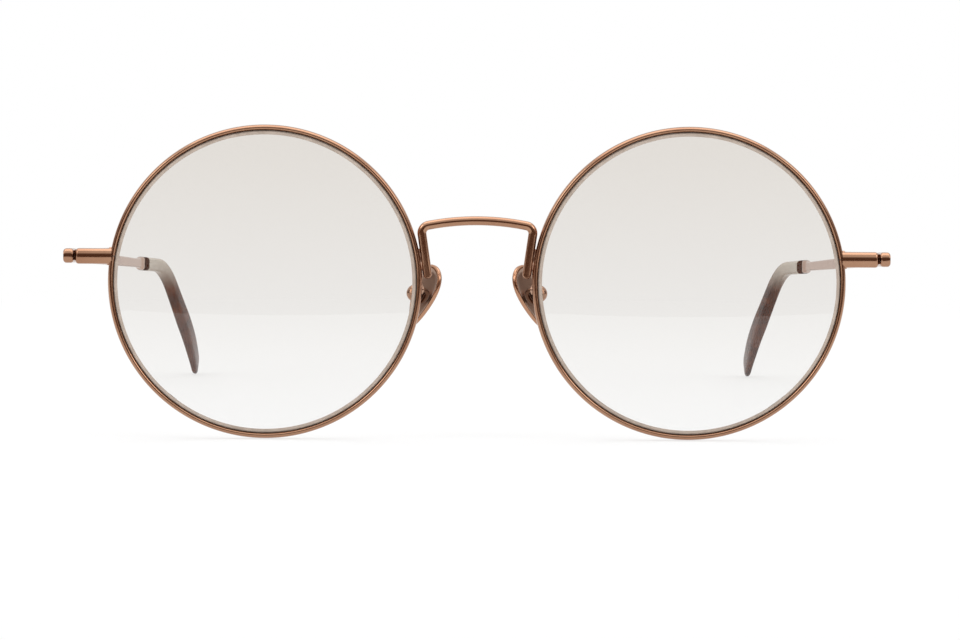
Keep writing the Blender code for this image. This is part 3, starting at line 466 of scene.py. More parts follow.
def makeRim():
    middle = rimOuter - rim["width"] / 2
    bpy.ops.object.select_all(action="DESELECT")
    bpy.ops.mesh.primitive_circle_add(vertices=rim["sides"], radius=0.5, location=(middle, 0, 0))
    piece = nameActive("RimWire")
    piece.scale = (rim["width"], rimDepth, 1)
    applyPlace(piece)
    # the V groove for the lens, pressed in three steps from its mouth to its root
    for reach, press in ((0.42, 0.32), (0.27, 0.34), (0.1, 0.34)):
        pickVertices(piece, lambda co, r=reach: co.x < middle and abs(co.y) < r * mm)
        bpy.ops.transform.translate(value=(press * rim["groove"], 0, 0))
    bpy.ops.mesh.select_all(action="SELECT")
    sweep = 2 * math.pi - rim["slit"] / middle
    bpy.ops.mesh.spin(steps=rim["steps"], angle=sweep, center=(0, 0, 0), axis=(0, -1, 0))
    bpy.ops.mesh.select_all(action="SELECT")
    bpy.ops.mesh.fill_holes(sides=0)
    bpy.ops.object.mode_set(mode="OBJECT")
    piece.rotation_euler.y = -(slitAngle + rim["slit"] / 2 / middle)
    piece.location = rimCentre
    finishPair(piece, roseGold, "front", ["rim"])


lens = {"curve": 133 * mm, "thickness": 1.6 * mm, "bevel": 0.4 * mm, "mouth": 0.9 * mm,
        "chamfer": 0.12 * mm, "ground": 0.55 * mm, "steps": 192}


def makeLens():
    edge = (lensHigh.z - lensLow.z) / 2
    face = edge - lens["bevel"]
    clear = face - lens["ground"]
    soft = lens["chamfer"]

    def dish(radii, half):
        flat = math.sqrt(lens["curve"] ** 2 - face ** 2)
        return [(radius, half + flat - math.sqrt(lens["curve"] ** 2 - radius ** 2)) for radius in radii]

    def turnLens(name, material, radii, outline, closed, nodes):
        half = lens["thickness"] / 2
        profile = dish(radii, -half) + outline + dish(radii[::-1], half)
        piece = turnProfile(name, profile, lens["steps"], closed)
        piece.rotation_euler.x = -math.pi / 2
        piece.location = rimCentre
        finishPair(piece, material, "front", nodes, smooth=25)

    turnLens("LensGlass", clearLens, [face * k / 14 for k in range(14)] + [clear], [], False, ["lens"])
    # the ground edge, with the bevel that sits in the rim's groove
    half = lens["thickness"] / 2
    mouth = lens["mouth"] / 2
    outline = [(face, -half + soft), (face, -mouth), (edge, 0), (face, mouth), (face, half - soft)]
    turnLens("LensEdge", groundEdge, [clear + sharp, face - soft], outline, True, ())


bridge = {"wire": 0.75 * mm, "contact": 3.8 * mm, "end": 1.4 * mm, "top": 10.24 * mm,
          "archSlope": 11 * degree, "archRadius": 42 * mm, "corner": 1.3 * mm, "flat": 0.24 * mm,
          "flatLength": 5.4 * mm}


def makeBridge():
    reach = rimOuter + jointGap + bridge["wire"]
    across = math.sqrt(reach ** 2 - bridge["contact"] ** 2)
    contactX = rimCentre.x - across
    lean = bridge["contact"] / across
    peak = bridge["top"] + bridge["archRadius"] * (1 / math.cos(bridge["archSlope"]) - 1)
    footX = contactX + lean * (bridge["end"] - bridge["contact"])
    fall = math.tan(bridge["archSlope"])
    cornerX = (contactX + lean * (peak - bridge["contact"])) / (1 + lean * fall)

    def place(x, z):
        return Vector((x, rimCentre.y, rimCentre.z + z))

    corners = [place(-footX, bridge["end"]), place(-cornerX, peak - cornerX * fall), place(0, peak),
               place(cornerX, peak - cornerX * fall), place(footX, bridge["end"])]
    route = roundedRoute(corners, (bridge["corner"], bridge["archRadius"], bridge["corner"]), 24)
    piece = drawWire("bridgeWire", route, bridge["wire"], sides=14)
    # the front of each leg is dressed flat, deeper towards its foot
    front = rimCentre.y - bridge["wire"]
    tilt = bridge["flat"] / bridge["flatLength"]
    foot = rimCentre.z + bridge["end"] - bridge["wire"]
    closeMesh(piece)
    bpy.ops.object.mode_set(mode="EDIT")
    bpy.ops.mesh.select_all(action="SELECT")
    bpy.ops.mesh.bisect(plane_co=(0, front + bridge["flat"], foot), plane_no=(0, -1, -tilt),
                        use_fill=True, clear_outer=True)
    bpy.ops.object.mode_set(mode="OBJECT")
    finishPiece(piece, roseGold, "front", ["bridge"])


solder = {"bridge": (0.32 * mm, 0.55 * mm, 1.7 * mm), "endpiece": (0.75 * mm, 0.80 * mm, 1.42 * mm),
          "arm": (0.42 * mm, 0.55 * mm, 0.72 * mm), "outwards": 0.1 * mm, "backwards": 0.1 * mm,
          "armOutwards": 0.05 * mm}


def solderBead(name, size, place, lean):
    # a drop of solder, flattened where it wets the wire
    bpy.ops.object.select_all(action="DESELECT")
    bpy.ops.mesh.primitive_uv_sphere_add(segments=32, ring_count=16, radius=1, location=(0, 0, 0))
    piece = nameActive(name)
    pickVertices(piece, lambda co: abs(co.z) > 0.55)
    bpy.ops.transform.resize(value=(0.8, 0.8, 1.08), center_override=(0, 0, 0))
    bpy.ops.object.mode_set(mode="OBJECT")
    piece.scale = size
    piece.rotation_euler.y = lean
    piece.location = place
    finishPair(piece, solderGold, "front")


def makeSolder():
    lean = math.asin(bridge["contact"] / rimOuter)
    place = rimCentre + Vector((-rimOuter * math.cos(lean), 0, rimOuter * math.sin(lean)))
    solderBead("BridgeSolder", solder["bridge"], place, lean)
    place = rimCentre + Vector((rimOuter * math.cos(slitAngle) + solder["outwards"], solder["backwards"],
                                hingeHeight - rimCentre.z))
    solderBead("EndpieceSolder", solder["endpiece"], place, -slitAngle)


makeRim()
makeLens()
makeBridge()
makeSolder()
print("front made")


# Endpieces and what closes the rim

endpiece = {"crown": 0.92 * mm, "endRound": 0.5 * mm, "endDrop": 0.26, "endSteps": 7,
            "sink": 0.35 * mm, "sides": 64}


def makeEndpiece():
    start = rimCentre.x + rimOuter * math.cos(slitAngle) - endpiece["sink"]
    length = endHigh.x - start
    height = endHigh.z - endLow.z
    crownLine = endLow.y + endpiece["crown"]
    piece = addRod("EndpieceBar", endpiece["sides"], height / 2, length,
                   (start + length / 2, crownLine, hingeHeight), (0, math.pi / 2, 0))
    piece.scale.y = endpiece["crown"] / (height / 2)
    applyPlace(piece)
    pickVertices(piece, lambda co: co.y > crownLine + sharp)
    bpy.ops.transform.translate(value=(0, endHigh.y - crownLine, 0))
    bpy.ops.mesh.select_all(action="SELECT")
    bpy.ops.mesh.bisect(plane_co=(0, endHigh.y, 0), plane_no=(0, 1, 0), use_fill=True, clear_outer=True)
    bpy.ops.object.mode_set(mode="OBJECT")
    # the outer end rounds over towards its flat back
    pickVertices(piece, lambda co: co.x > endHigh.x - sharp)
    bpy.ops.transform.translate(value=(-endpiece["endRound"], 0, 0))
    last = (0, 1)
    for k in range(1, endpiece["endSteps"] + 1):
        angle = math.pi / 2 * k / endpiece["endSteps"]
        step = (endpiece["endRound"] * math.sin(angle), 1 - endpiece["endDrop"] * (1 - math.cos(angle)))
        bpy.ops.mesh.extrude_region_move(TRANSFORM_OT_translate={"value": (step[0] - last[0], 0, 0)})
        bpy.ops.transform.resize(value=(1, step[1] / last[1], step[1] / last[1]),
                                 center_override=(endHigh.x, endHigh.y, hingeHeight))
        last = step
    bpy.ops.object.mode_set(mode="OBJECT")
    finishPair(piece, roseGold, "front", ["endpiece"])


def screwPiece(name, place, axis, shank, length, head, headHeight, slot):
    # head upwards along the axis, with a straight driver slot
    edge = 0.18 * headHeight
    point = 0.08 * mm
    profile = [(0, -length), (shank - point, -length), (shank, -length + point), (shank, 0), (head, 0),
               (head, headHeight - 2 * edge), (head - edge, headHeight - edge * 0.6),
               (head - 2.4 * edge, headHeight), (0, headHeight)]
    piece = turnProfile(name, profile, 40)
    closeMesh(piece)
    cutWith(piece, addBox("slotCutter", (0, 0, headHeight), (3 * head, slot, headHeight)))
    return standOn(piece, place, axis)


closing = {"shank": 0.40 * mm, "head": 0.65 * mm, "headHeight": 0.37 * mm, "slot": 0.2 * mm,
           "round": 0.16 * mm}


def makeClosing():
    low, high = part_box("right_closing_screw")
    place = Vector(((low.x + high.x) / 2, (low.y + high.y) / 2, low.z + closing["headHeight"]))
    piece = screwPiece("ClosingScrew", place, Vector((0, 0, -1)), closing["shank"],
                       high.z - place.z, closing["head"], closing["headHeight"], closing["slot"])
    finishPair(piece, screwSteel, "front", ["closing_screw"])
    for label in ("upper", "lower"):
        low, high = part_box("right_closing_block_" + label)
        size = high - low
        piece = addBox("ClosingBlock" + label.title(), (low + high) / 2, size)
        softenEdges(piece, closing["round"])
        bores = [(closing["shank"] + screwGap, size.z * 2)]
        if label == "lower":
            bores.append((closing["head"] + seatGap, 2 * (closing["headHeight"] + seatGap)))
        for radius, depth in bores:
            cutWith(piece, addRod("boreCutter", 40, radius, depth, (place.x, place.y, low.z)))
        finishPair(piece, roseGold, "front", ["closing_block_" + label])


makeEndpiece()
makeClosing()
print("endpieces made")


# Hinge

hinge = {"knuckle": 1.15 * mm, "middle": 0.8 * mm, "outer": 0.65 * mm, "gap": 0.06 * mm, "tongue": 0.6 * mm,
         "base": 0.95 * mm, "screw": 0.50 * mm, "head": 0.80 * mm, "headHeight": 0.35 * mm,
         "driver": 0.24 * mm, "screwEnd": 0.18 * mm, "leafAhead": 0.9 * mm, "leafHeight": 1.8 * mm,
         "round": 0.07 * mm, "sides": 64}
hingeJoint = joints["right_temple_hinge"]
hingePlace = Vector(hingeJoint["pos_m"])
hingeAxis = Vector(hingeJoint["axis"]).normalized()


def knuckleBlock(name, bottom, top, low, high):
    # a barrel about Z with a bar running out of it; low and high are the bar's corners in plan
    middle = (top + bottom) / 2
    piece = addRod(name, hinge["sides"], hinge["knuckle"], top - bottom, (0, 0, middle))
    applyPlace(piece)
    cutWith(piece, addBox("barHelper", ((low[0] + high[0]) / 2, (low[1] + high[1]) / 2, middle),
                          (high[0] - low[0], high[1] - low[1], top - bottom)), "UNION")
    return piece


def boreAt(piece, radius, length, height=0):
    cutWith(piece, addRod("boreCutter", 48, radius, length, (0, 0, height)))


def makeHinge():
    half = hinge["middle"] / 2
    top = half + hinge["gap"] + hinge["outer"]
    slope = math.atan2(hingeAxis.y, hingeAxis.z)
    reach = hingePlace.y - endHigh.y - jointGap - top * math.tan(slope)
    front = knuckleBlock("HingeFront", -top, top, (-hinge["base"], -reach), (hinge["base"], 0))
    cutWith(front, addRod("slotCutter", hinge["sides"], hinge["knuckle"] + hinge["gap"],
                          2 * (half + hinge["gap"])))
    boreAt(front, hinge["screw"] + screwGap, 4 * top)
    boreAt(front, hinge["head"] + screwGap, 2 * hinge["headHeight"], top)
    softenEdges(front, hinge["round"])
    standOn(front, hingePlace, hingeAxis)
    finishPair(front, roseGold, "front", ["hinge_front"])

    # the temple's knuckle, with a leaf on the inner face of the temple's head
    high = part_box("right_hinge_temple")[1]
    outer = high.x - hingePlace.x
    inner = hinge["knuckle"] + hinge["gap"]
    ahead = hinge["leafAhead"]
    behind = (high.y - hingePlace.y - hinge["leafHeight"] / 2 * math.sin(slope)) / math.cos(slope)
    leaf = knuckleBlock("HingeTemple", -half, half, (0, -hinge["tongue"]), (outer, hinge["tongue"]))
    cutWith(leaf, addBox("leafHelper", ((inner + outer) / 2, (behind - ahead) / 2, 0),
                         (outer - inner, behind + ahead, hinge["leafHeight"])), "UNION")
    boreAt(leaf, hinge["screw"] + screwGap, 4 * top)
    softenEdges(leaf, hinge["round"])
    standOn(leaf, hingePlace, hingeAxis)
    finishPair(leaf, roseGold, "temple", ["hinge_temple"])

    place = hingePlace + hingeAxis * (top - hinge["headHeight"] + seatGap)
    length = 2 * top - hinge["headHeight"] + hinge["screwEnd"]
    screw = screwPiece("HingeScrew", place, hingeAxis, hinge["screw"], length, hinge["head"],
                       hinge["headHeight"], hinge["driver"])
    finishPair(screw, screwSteel, "front", ["hinge_screw"])


makeHinge()
print("hinges made")


# Temples: one route carries the bar, the dark sleeve and the tip

temple = {"slope": 4.15 * degree, "inward": 4.2 * degree, "headWidth": 1.7 * mm, "headHeight": 2.4 * mm,
          "headLength": 6 * mm, "setIn": 4 * mm, "barWidth": 1.1 * mm, "barHeight": 1.6 * mm,
          "collar": 3.5 * mm, "collarWidth": 1.6 * mm, "core": 0.45 * mm,
          "corner": 0.52 * mm, "headSag": 0.2 * mm, "setBack": 0.15 * mm,
          "nose": 1 * mm}
sleeve = {"length": 4.8 * mm, "width": 1.8 * mm, "height": 2.5 * mm, "corner": 0.7 * mm,
          "soft": 0.12 * mm}
tip = {"start": 15.9 * mm, "startLean": 8 * degree, "lean": 12.5 * degree, "endLean": 5 * degree,
       "drop": 41 * degree, "bend": 20 * mm, "thickness": 2.1 * mm, "bendHeight": 3.1 * mm,
       "paddle": 5 * mm, "rounding": 3.4 * mm, "thin": 0.62}


def walk(route, lean, drop, length, endLean, endDrop, steps):
    # goes on from the route's end while lean and drop change evenly
    place = route[-1]
    for k in range(steps):
        share = (k + 0.5) / steps
        nowLean = lean + (endLean - lean) * share
        nowDrop = drop + (endDrop - drop) * share
        level = math.cos(nowDrop)
        onward = Vector((-math.sin(nowLean) * level, math.cos(nowLean) * level, -math.sin(nowDrop)))
        place = place + onward * (length / steps)
        route.append(place)
    return length


def templeRoute():
    # the route's points and the distance along it where each stretch ends
    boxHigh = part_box("right_temple")[1]
    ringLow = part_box("right_temple_ring")[0]
    slope = temple["slope"]
    inward = temple["inward"]
    pace = math.cos(inward) * math.cos(slope)
    start = Vector((boxHigh.x - temple["headWidth"] / 2, rimLow.y + temple["setBack"], 0))
    start.z = hingeHeight + math.tan(slope) * (hingePlace.y - start.y)
    route = [start]
    ends = {}
    ends["head"] = walk(route, 0, slope, temple["headLength"], 0, slope, 6)
    ends["setIn"] = ends["head"] + walk(route, 0, slope, temple["setIn"], inward, slope, 8)
    ringStart = ringLow.y - jointGap
    length = (ringStart - temple["collar"] - route[-1].y) / pace
    ends["bar"] = ends["setIn"] + walk(route, inward, slope, length, inward, slope, 20)
    ends["collar"] = ends["bar"] + walk(route, inward, slope, temple["collar"], inward, slope, 4)
    ends["sleeve"] = ends["collar"] + walk(route, inward, slope, sleeve["length"], inward, slope, 4)
    length = (ringStart + tip["start"] - route[-1].y) / pace
    ends["straight"] = ends["sleeve"] + walk(route, inward, slope, length, tip["startLean"], slope, 12)
    length = tip["bend"] * (tip["drop"] - slope)
    ends["bend"] = ends["straight"] + walk(route, tip["startLean"], slope, length,
                                           tip["lean"], tip["drop"], 24)
    fall = math.hypot(tip["rounding"] * math.sin(tip["drop"]), tip["paddle"] / 2 * math.cos(tip["drop"]))
    length = (route[-1].z - fall) / math.sin(tip["drop"]) / 2
    ends["leg"] = ends["bend"] + walk(route, tip["lean"], tip["drop"], length, tip["lean"], tip["drop"], 12)
    ends["leg"] += walk(route, tip["lean"], tip["drop"], length, tip["endLean"], tip["drop"], 12)
    walk(route, tip["endLean"], tip["drop"], tip["rounding"] + mm, tip["endLean"], tip["drop"], 4)
    # the head hangs a little low at its front
    reach = start.y + ends["setIn"]
    for point in route:
        share = max(reach - point.y, 0) / ends["setIn"]
        point.z -= temple["headSag"] * share * share
    return route, ends


def bendAlong(piece, guide):
    # a piece modelled straight along +Y follows the guide curve
    modifier = piece.modifiers.new("follow", "CURVE")
    modifier.object = guide
    modifier.deform_axis = "POS_Y"
    applyModifiers(piece)


def makeTemple():
    route, ends = templeRoute()
    guide = drawCurve("templeGuide", route)
    for point in guide.data.splines[0].points:
        point.tilt = math.pi / 2
    width, height = temple["headWidth"], temple["headHeight"]
    barWidth = temple["barWidth"] / width
    tallStart = 0.92
    tallEnd = temple["barHeight"] / height
    collarWidth = temple["collarWidth"] / width
    core = 2 * temple["core"] / width
    coreTall = 2 * temple["core"] / height

    # the bar: half-round nose, head, even taper, flared collar, thin core wire
    stations = []
    for share in (0.04, 0.12, 0.25, 0.42, 0.62, 0.82, 1.0):
        swell = math.sqrt(1 - (1 - share) ** 2)
        stations.append((share * temple["nose"], 0.86 + 0.14 * swell, max(swell, 0.2)))
    stations += [(d, 1, 1) for d in (2 * mm, 4 * mm, ends["head"])]
    for k in range(1, 9):
        share = (1 - math.cos(math.pi * k / 8)) / 2
        stations.append((ends["head"] + (ends["setIn"] - ends["head"]) * k / 8,
                         1 + (barWidth - 1) * share, 1 - (1 - tallStart) * share))
    for k in range(1, 31):
        share = k / 30
        stations.append((ends["setIn"] + (ends["bar"] - ends["setIn"]) * share, barWidth,
                         tallStart + (tallEnd - tallStart) * share))
    for k in range(1, 9):
        share = (1 - math.cos(math.pi * k / 8)) / 2
        stations.append((ends["bar"] + (ends["collar"] - ends["bar"] - sleeve["soft"]) * k / 8,
                         barWidth + (collarWidth - barWidth) * share, tallEnd + (1 - tallEnd) * share))
    stations.append((ends["collar"] - 0.03 * mm, collarWidth * 0.95, 0.96))
    stations.append((ends["collar"], collarWidth * 0.85, 0.9))
    stations.append((ends["collar"] + 0.01 * mm, core, coreTall))
    for k in range(1, 12):
        stations.append((ends["collar"] + (ends["bend"] - ends["collar"]) * k / 11, core, coreTall))
    piece = roundedPlate("TempleBar", width, height, temple["corner"])
    growAlong(stations)
    bendAlong(piece, guide)
    finishPair(piece, roseGold, "temple", ["temple"])

    # the sleeve, with softened rims
    first = ends["collar"] + jointGap
    last = ends["sleeve"] - jointGap
    soft = sleeve["soft"]
    stations = [(first, 0.86, 0.88), (first + 0.4 * soft, 0.96, 0.97), (first + soft, 1, 1)]
    stations += [(first + soft + (last - first - 2 * soft) * k / 6, 1, 1) for k in range(1, 7)]
    stations += [(last - 0.4 * soft, 0.96, 0.97), (last, 0.86, 0.88)]
    piece = roundedPlate("TempleSleeve", sleeve["width"], sleeve["height"], sleeve["corner"])
    growAlong(stations)
    bendAlong(piece, guide)
    finishPair(piece, darkSleeve, "temple", ["temple_ring"])

    # the tip: grows into a paddle behind the bend and closes in a rounded end
    wide, tall = sleeve["width"], sleeve["height"]
    stations = [(ends["sleeve"], 0.86, 0.88), (ends["sleeve"] + jointGap, 0.96, 0.97),
                (ends["sleeve"] + soft, 1, 1)]
    span = ends["leg"] - ends["sleeve"]
    for k in range(1, 57):
        distance = ends["sleeve"] + soft + (span - soft) * k / 56
        toBend = min((distance - ends["sleeve"]) / (ends["straight"] - ends["sleeve"]), 1)
        inBend = min(max((distance - ends["straight"]) / (ends["bend"] - ends["straight"]), 0), 1)
        onLeg = min(max((distance - ends["bend"]) / (ends["leg"] - ends["bend"]), 0), 1)
        thick = wide + (tip["thickness"] - wide) * toBend
        thick *= 1 - (1 - tip["thin"]) * max(onLeg - 0.45, 0) / 0.55
        deep = tall + (tip["bendHeight"] - tall) * inBend
        deep += (tip["paddle"] - tip["bendHeight"]) * min(onLeg * 1.25, 1) ** 1.4
        stations.append((distance, thick / wide, deep / tall))
    for k in range(1, 13):
        angle = math.pi / 2 * k / 12.3
        stations.append((ends["leg"] + tip["rounding"] * math.sin(angle),
                         tip["thickness"] / wide * tip["thin"] * math.cos(angle) ** 0.9,
                         tip["paddle"] / tall * math.cos(angle)))
    piece = roundedPlate("TempleTip", wide, tall, sleeve["corner"])
    growAlong(stations)
    bendAlong(piece, guide)
    finishPair(piece, brownAcetate, "temple", ["temple_tip"])
    selectOnly(guide)
    bpy.ops.object.delete()


makeTemple()
print("temples made")


# Nose pads

pad = {"length": 10.9 * mm, "width": 5.9 * mm, "thickness": 0.8 * mm, "taper": 0.45, "crown": 0.35 * mm,
       "splay": 40 * degree, "lip": 0.42 * mm, "border": 0.88, "sides": 64,
       "stud": 0.62 * mm, "studLength": 1.1 * mm, "studSink": 0.3 * mm}
box = {"radius": 1.45 * mm, "slot": 0.61 * mm, "depth": 0.74 * mm, "screw": 0.36 * mm, "head": 0.62 * mm,
       "headGap": 0.06 * mm, "seat": 0.72, "reach": 0.85, "shank": 0.32 * mm, "headHeight": 0.55 * mm,
       "driver": 0.18 * mm, "round": 0.05 * mm}
alongY = (math.pi / 2, 0, 0)
padJoint = joints["right_pad_tilt"]
padPlace = Vector(padJoint["pos_m"])
padAlong = Vector(padJoint["axis"]).normalized()
padAcross = Vector((math.sin(pad["splay"]), math.cos(pad["splay"]), 0))
padAcross = (padAcross - padAlong * padAcross.dot(padAlong)).normalized()
padOutward = padAcross.cross(padAlong)
# local X across the pad, local Y along it, local Z from its face towards the box
padFrame = Matrix((padAcross, padAlong, padOutward)).transposed()


def placeOnPad(piece):
    piece.matrix_world = Matrix.LocRotScale(padPlace, padFrame, None)
    applyPlace(piece)


def makePad():
    standoff = pad["thickness"] / 2 + jointGap + box["radius"]
    back = -standoff + pad["thickness"] / 2
    bpy.ops.object.select_all(action="DESELECT")
    bpy.ops.mesh.primitive_circle_add(vertices=pad["sides"], radius=0.5, fill_type="NGON",
                                      location=(0, 0, 0))
    piece = nameActive("PadPlate")
    piece.scale = (pad["width"], pad["length"], 1)
    applyPlace(piece)
    bpy.ops.object.mode_set(mode="EDIT")
    bpy.ops.mesh.select_all(action="SELECT")
    # one outline, grown from the crowned nose side out to the edge and back over the lip into the dish
    lip = 2 * pad["lip"] / pad["width"]
    levels = [(0.08, -pad["crown"]), (0.3, -pad["crown"] * 0.93), (0.55, -pad["crown"] * 0.70),
              (0.78, -pad["crown"] * 0.36), (0.92, -0.02 * mm), (0.975, 0.10 * mm), (1.0, 0.28 * mm),
              (1.0, 0.52 * mm), (0.985, 0.70 * mm), (0.955, 0.79 * mm), (0.92, 0.80 * mm),
              (1.0 - lip, 0.72 * mm), (0.97 - lip, 0.58 * mm), (0.92 - lip, 0.50 * mm),
              (0.60, 0.43 * mm), (0.35, 0.40 * mm), (0.1, 0.40 * mm)]
    base = back - pad["thickness"]
    lastShare, lastLevel = levels[0]
    bpy.ops.transform.resize(value=(lastShare, lastShare, 1), center_override=(0, 0, 0))
    bpy.ops.transform.translate(value=(0, 0, base + lastLevel))
    for share, level in levels[1:]:
        bpy.ops.mesh.extrude_region_move(TRANSFORM_OT_translate={"value": (0, 0, level - lastLevel)})
        bpy.ops.transform.resize(value=(share / lastShare, share / lastShare, 1), center_override=(0, 0, 0))
        lastShare, lastLevel = share, level
    bpy.ops.object.mode_set(mode="OBJECT")
    taper = piece.modifiers.new("egg", "SIMPLE_DEFORM")
    taper.deform_method = "TAPER"
    taper.deform_axis = "Y"
    taper.lock_z = True
    taper.factor = 2 * pad["taper"]
    applyModifiers(piece)
    # the border mask: a smoother finish and the painted highlight of the lip
    polished = piece.data.attributes.new("polished", "FLOAT", "POINT")
    for vert, value in zip(piece.data.vertices, polished.data):
        along = 2 * vert.co.y / pad["length"]
        across = 2 * vert.co.x / pad["width"] / (1 + pad["taper"] * along)
        value.value = 1.0 if math.hypot(along, across) > pad["border"] else 0.0
    # the stud that takes the screw
    stud = addRod("studHelper", 48, pad["stud"], pad["studLength"], turn=alongY)
    applyPlace(stud)
    pickVertices(stud, lambda co: co.z < -sharp)
    bpy.ops.transform.translate(value=(0, 0, back - pad["studSink"]))
    bpy.ops.object.mode_set(mode="OBJECT")
    closeMesh(piece)
    cutWith(piece, stud, "UNION")
    cutWith(piece, addRod("eyeCutter", 32, box["screw"], 2 * mm, turn=alongY))
    placeOnPad(piece)
    finishPair(piece, padGold, "pad", ["nose_pad"])


def makePadBox():
    bpy.ops.object.select_all(action="DESELECT")
    bpy.ops.mesh.primitive_uv_sphere_add(segments=64, ring_count=32, radius=box["radius"],
                                         location=(0, 0, 0), rotation=alongY)
    piece = nameActive("PadBox")
    applyPlace(piece)
    long = 4 * mm
    deep = 3 * mm
    cutWith(piece, addBox("slotCutter", (0, 0, box["depth"] - deep / 2), (long, 2 * box["slot"], deep)))
    seat = box["seat"] * box["radius"]
    for radius, start in ((box["screw"], -long / 2), (box["head"] + box["headGap"], seat)):
        cutWith(piece, addRod("boreCutter", 40, radius, long, (0, start + long / 2, 0), alongY))
    softenEdges(piece, box["round"])
    placeOnPad(piece)
    finishPair(piece, roseGold, "front", ["pad_box"])

    height = seat + seatGap
    screw = screwPiece("PadScrew", padPlace + padAlong * height, padAlong, box["shank"],
                       height + box["reach"] * box["radius"], box["head"], box["headHeight"], box["driver"])
    finishPair(screw, screwSteel, "front", ["pad_screw"])


arm = {"wire": 0.42 * mm, "angle": 182.7 * degree, "turn": 34 * degree, "gap": 0.16 * mm,
       "arrive": 2.15 * mm, "leave": Vector((-0.88, 0.45, -0.17)) * 2.2 * mm, "sink": 0.25 * mm,
       "toward": (0.11, -0.86, -0.51), "endGap": 0.12 * mm}


def makePadArm():
    # out of the rim's nose side, looped back to the ball
    square = Vector((math.cos(arm["turn"]) / rim["width"], math.sin(arm["turn"]) / rimDepth)).normalized()
    reach = rimOuter - rim["width"] / 2 * (1 - math.cos(arm["turn"])) + arm["gap"] * square.x
    root = rimCentre + Vector((reach * math.cos(arm["angle"]),
                               rimDepth / 2 * math.sin(arm["turn"]) + arm["gap"] * square.y,
                               reach * math.sin(arm["angle"])))
    outwards, across, along = arm["toward"]
    toward = (padOutward * outwards + padAcross * across + padAlong * along).normalized()
    end = padPlace + toward * (box["radius"] + arm["endGap"])
    route = bezierRoute(root, root + arm["leave"], end + toward * arm["arrive"], end, 24)
    route = [root - arm["leave"].normalized() * arm["sink"]] + route + [end - toward * arm["sink"]]
    piece = drawWire("PadArm", route, arm["wire"], sides=10)
    # the arm carries the gold with painted shade
    finishPair(piece, paintedShadeArmGold, "front", ["pad_arm"])
    solderBead("ArmSolder", solder["arm"], root + Vector((solder["armOutwards"], 0, 0)), 0)


makePad()
makePadBox()
makePadArm()
print("nose pads made")


# Studio

studio = {"floorSize": 60.0, "floorShade": 0.9, "glow": 0.7, "wide": 0.12, "far": 0.3, "ambient": 0.62,
          "cardShade": (0.16, 0.095, 0.068), "sideShade": (0.24, 0.17, 0.14)}
shot = {"distance": 0.600, "side": -0.005, "height": 0.062, "focal": 136.7, "down": 4.02 * degree,
        "turn": 0.525 * degree, "roll": 0.32 * degree}
white = (1, 1, 1, 1)


def seenDirectly(tree):
    # camera, mirrored and refracted rays see the white background
    rays = tree.nodes.new("ShaderNodeLightPath").outputs
    result = rays["Is Camera Ray"]
    for label in ("Is Glossy Ray", "Is Transmission Ray"):
        result = calculate(tree, "MAXIMUM", result, rays[label])
    return result


def makeFloor():
    # pale floor that keeps a faint shadow near the glasses and is plain white further out
    bpy.ops.object.select_all(action="DESELECT")
    bpy.ops.mesh.primitive_plane_add(size=studio["floorSize"], location=(0, 0, -0.1 * mm))
    floor = nameActive("floor")
    material, tree, shader = newMaterial("paleFloor")
    shade = studio["floorShade"]
    shader.inputs["Base Color"].default_value = (shade, shade, shade, 1)
    shader.inputs["Roughness"].default_value = 0.9
    shader.inputs["Specular IOR Level"].default_value = 0.0
    distance = addNode(tree, "VectorMath", {0: objectPlace(tree)}, operation="LENGTH").outputs["Value"]
    values = {"Value": distance, "From Min": studio["wide"], "From Max": studio["far"],
              "To Min": studio["glow"]}
    fade = addNode(tree, "MapRange", values).outputs["Result"]
    share = calculate(tree, "MULTIPLY", seenDirectly(tree), fade)
    glow = tree.nodes.new("ShaderNodeEmission").outputs["Emission"]
    mix = addNode(tree, "MixShader", {0: share, 1: shader.outputs["BSDF"], 2: glow})
    tree.links.new(mix.outputs["Shader"], tree.nodes["Material Output"].inputs["Surface"])
    floor.data.materials.append(material)


def makeWorld():
    world = bpy.data.worlds.new("studioWorld")
    bpy.context.scene.world = world
    world.use_nodes = True
    tree = world.node_tree
    grey = (*[studio["ambient"]] * 3, 1)
    colour = mixColours(tree, seenDirectly(tree), grey, white)
    tree.links.new(colour, tree.nodes["Background"].inputs["Color"])


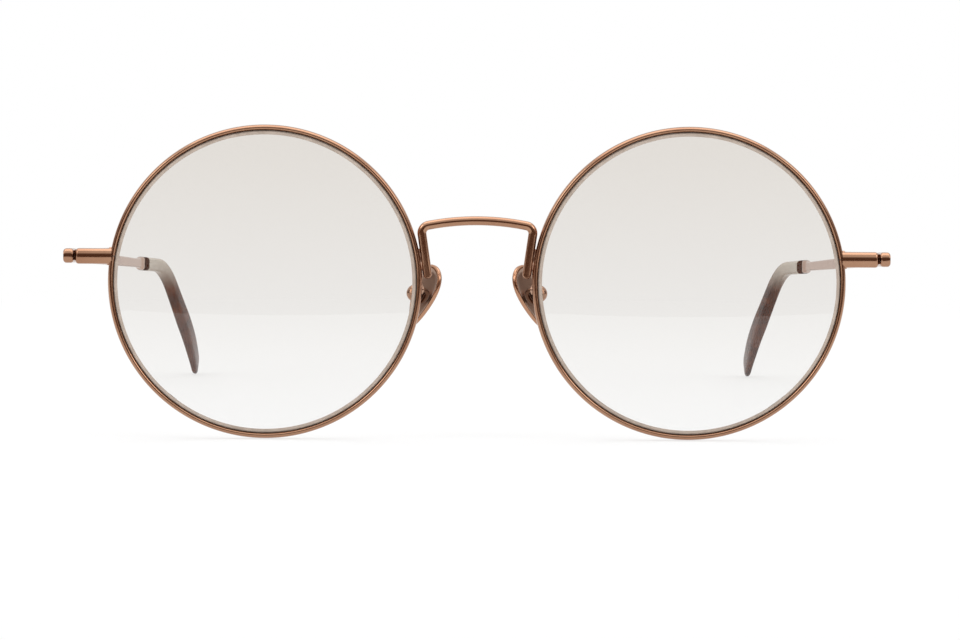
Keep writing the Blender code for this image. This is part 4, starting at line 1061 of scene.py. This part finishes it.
def makeCard(name, place, size, turn, shade):
    # a dark card that fades out to white at its edges; only mirrored rays see it
    bpy.ops.object.select_all(action="DESELECT")
    bpy.ops.mesh.primitive_plane_add(size=2, location=place, rotation=(math.pi / 2, 0, turn))
    card = nameActive(name)
    card.scale = (size[0] / 2, size[1] / 2, 1)
    material, tree, shader = newMaterial(name)
    tree.nodes.remove(shader)
    split = addNode(tree, "SeparateXYZ", {"Vector": objectPlace(tree)})
    edges = []
    for label, soft in (("X", 0.6), ("Y", 0.62)):
        away = calculate(tree, "ABSOLUTE", split.outputs[label])
        edges.append(fadeBetween(tree, away, 1 - soft, 1, interpolation_type="SMOOTHSTEP"))
    colour = mixColours(tree, calculate(tree, "MAXIMUM", *edges), (*shade, 1), white)
    glow = addNode(tree, "Emission", {"Color": colour})
    tree.links.new(glow.outputs["Emission"], tree.nodes["Material Output"].inputs["Surface"])
    card.data.materials.append(material)
    card.visible_camera = False
    card.visible_diffuse = False
    card.visible_transmission = False
    card.visible_shadow = False


def addSoftbox(name, place, aim, size, power):
    bpy.ops.object.select_all(action="DESELECT")
    bpy.ops.object.light_add(type="AREA", location=place)
    lamp = bpy.context.object
    lamp.name = name
    lamp.data.shape = "RECTANGLE"
    lamp.data.size = size[0]
    lamp.data.size_y = size[1]
    lamp.data.energy = power
    lamp.rotation_euler = (Vector(aim) - Vector(place)).to_track_quat("-Z", "Y").to_euler()


def makeCamera():
    place = Vector((shot["side"], rimLow.y - shot["distance"], shot["height"]))
    bpy.ops.object.camera_add(location=place, rotation=(math.pi / 2 - shot["down"], 0, -shot["turn"]))
    camera = bpy.context.object
    camera.name = "camera"
    camera.data.lens = shot["focal"]
    camera.data.sensor_width = 36
    camera.data.clip_start = 0.01
    bpy.context.view_layer.update()
    camera.matrix_world = camera.matrix_world @ Matrix.Rotation(shot["roll"], 4, "Z")
    bpy.context.scene.camera = camera


makeFloor()
makeWorld()
makeCard("frontCard", place=(0, rimLow.y - 0.14, 0.042), size=(1.3, 0.21), turn=0,
         shade=studio["cardShade"])
for turned in (-1, 1):
    makeCard("sideCard", place=(turned * 0.9, 0.1, 0.2), size=(1.4, 0.6), turn=turned * math.pi / 2,
             shade=studio["sideShade"])
addSoftbox("ceilingBox", place=(0, 0.1, 1.2), aim=(0, 0, 0), size=(1.6, 1.2), power=9)
addSoftbox("leftBox", place=(-1.1, -0.5, 0.6), aim=(0, 0, 0.02), size=(0.5, 1.0), power=4)
addSoftbox("rightBox", place=(1.1, -0.5, 0.6), aim=(0, 0, 0.02), size=(0.5, 1.0), power=4)
makeCamera()
bpy.context.scene.view_settings.view_transform = "Standard"
print("studio made")
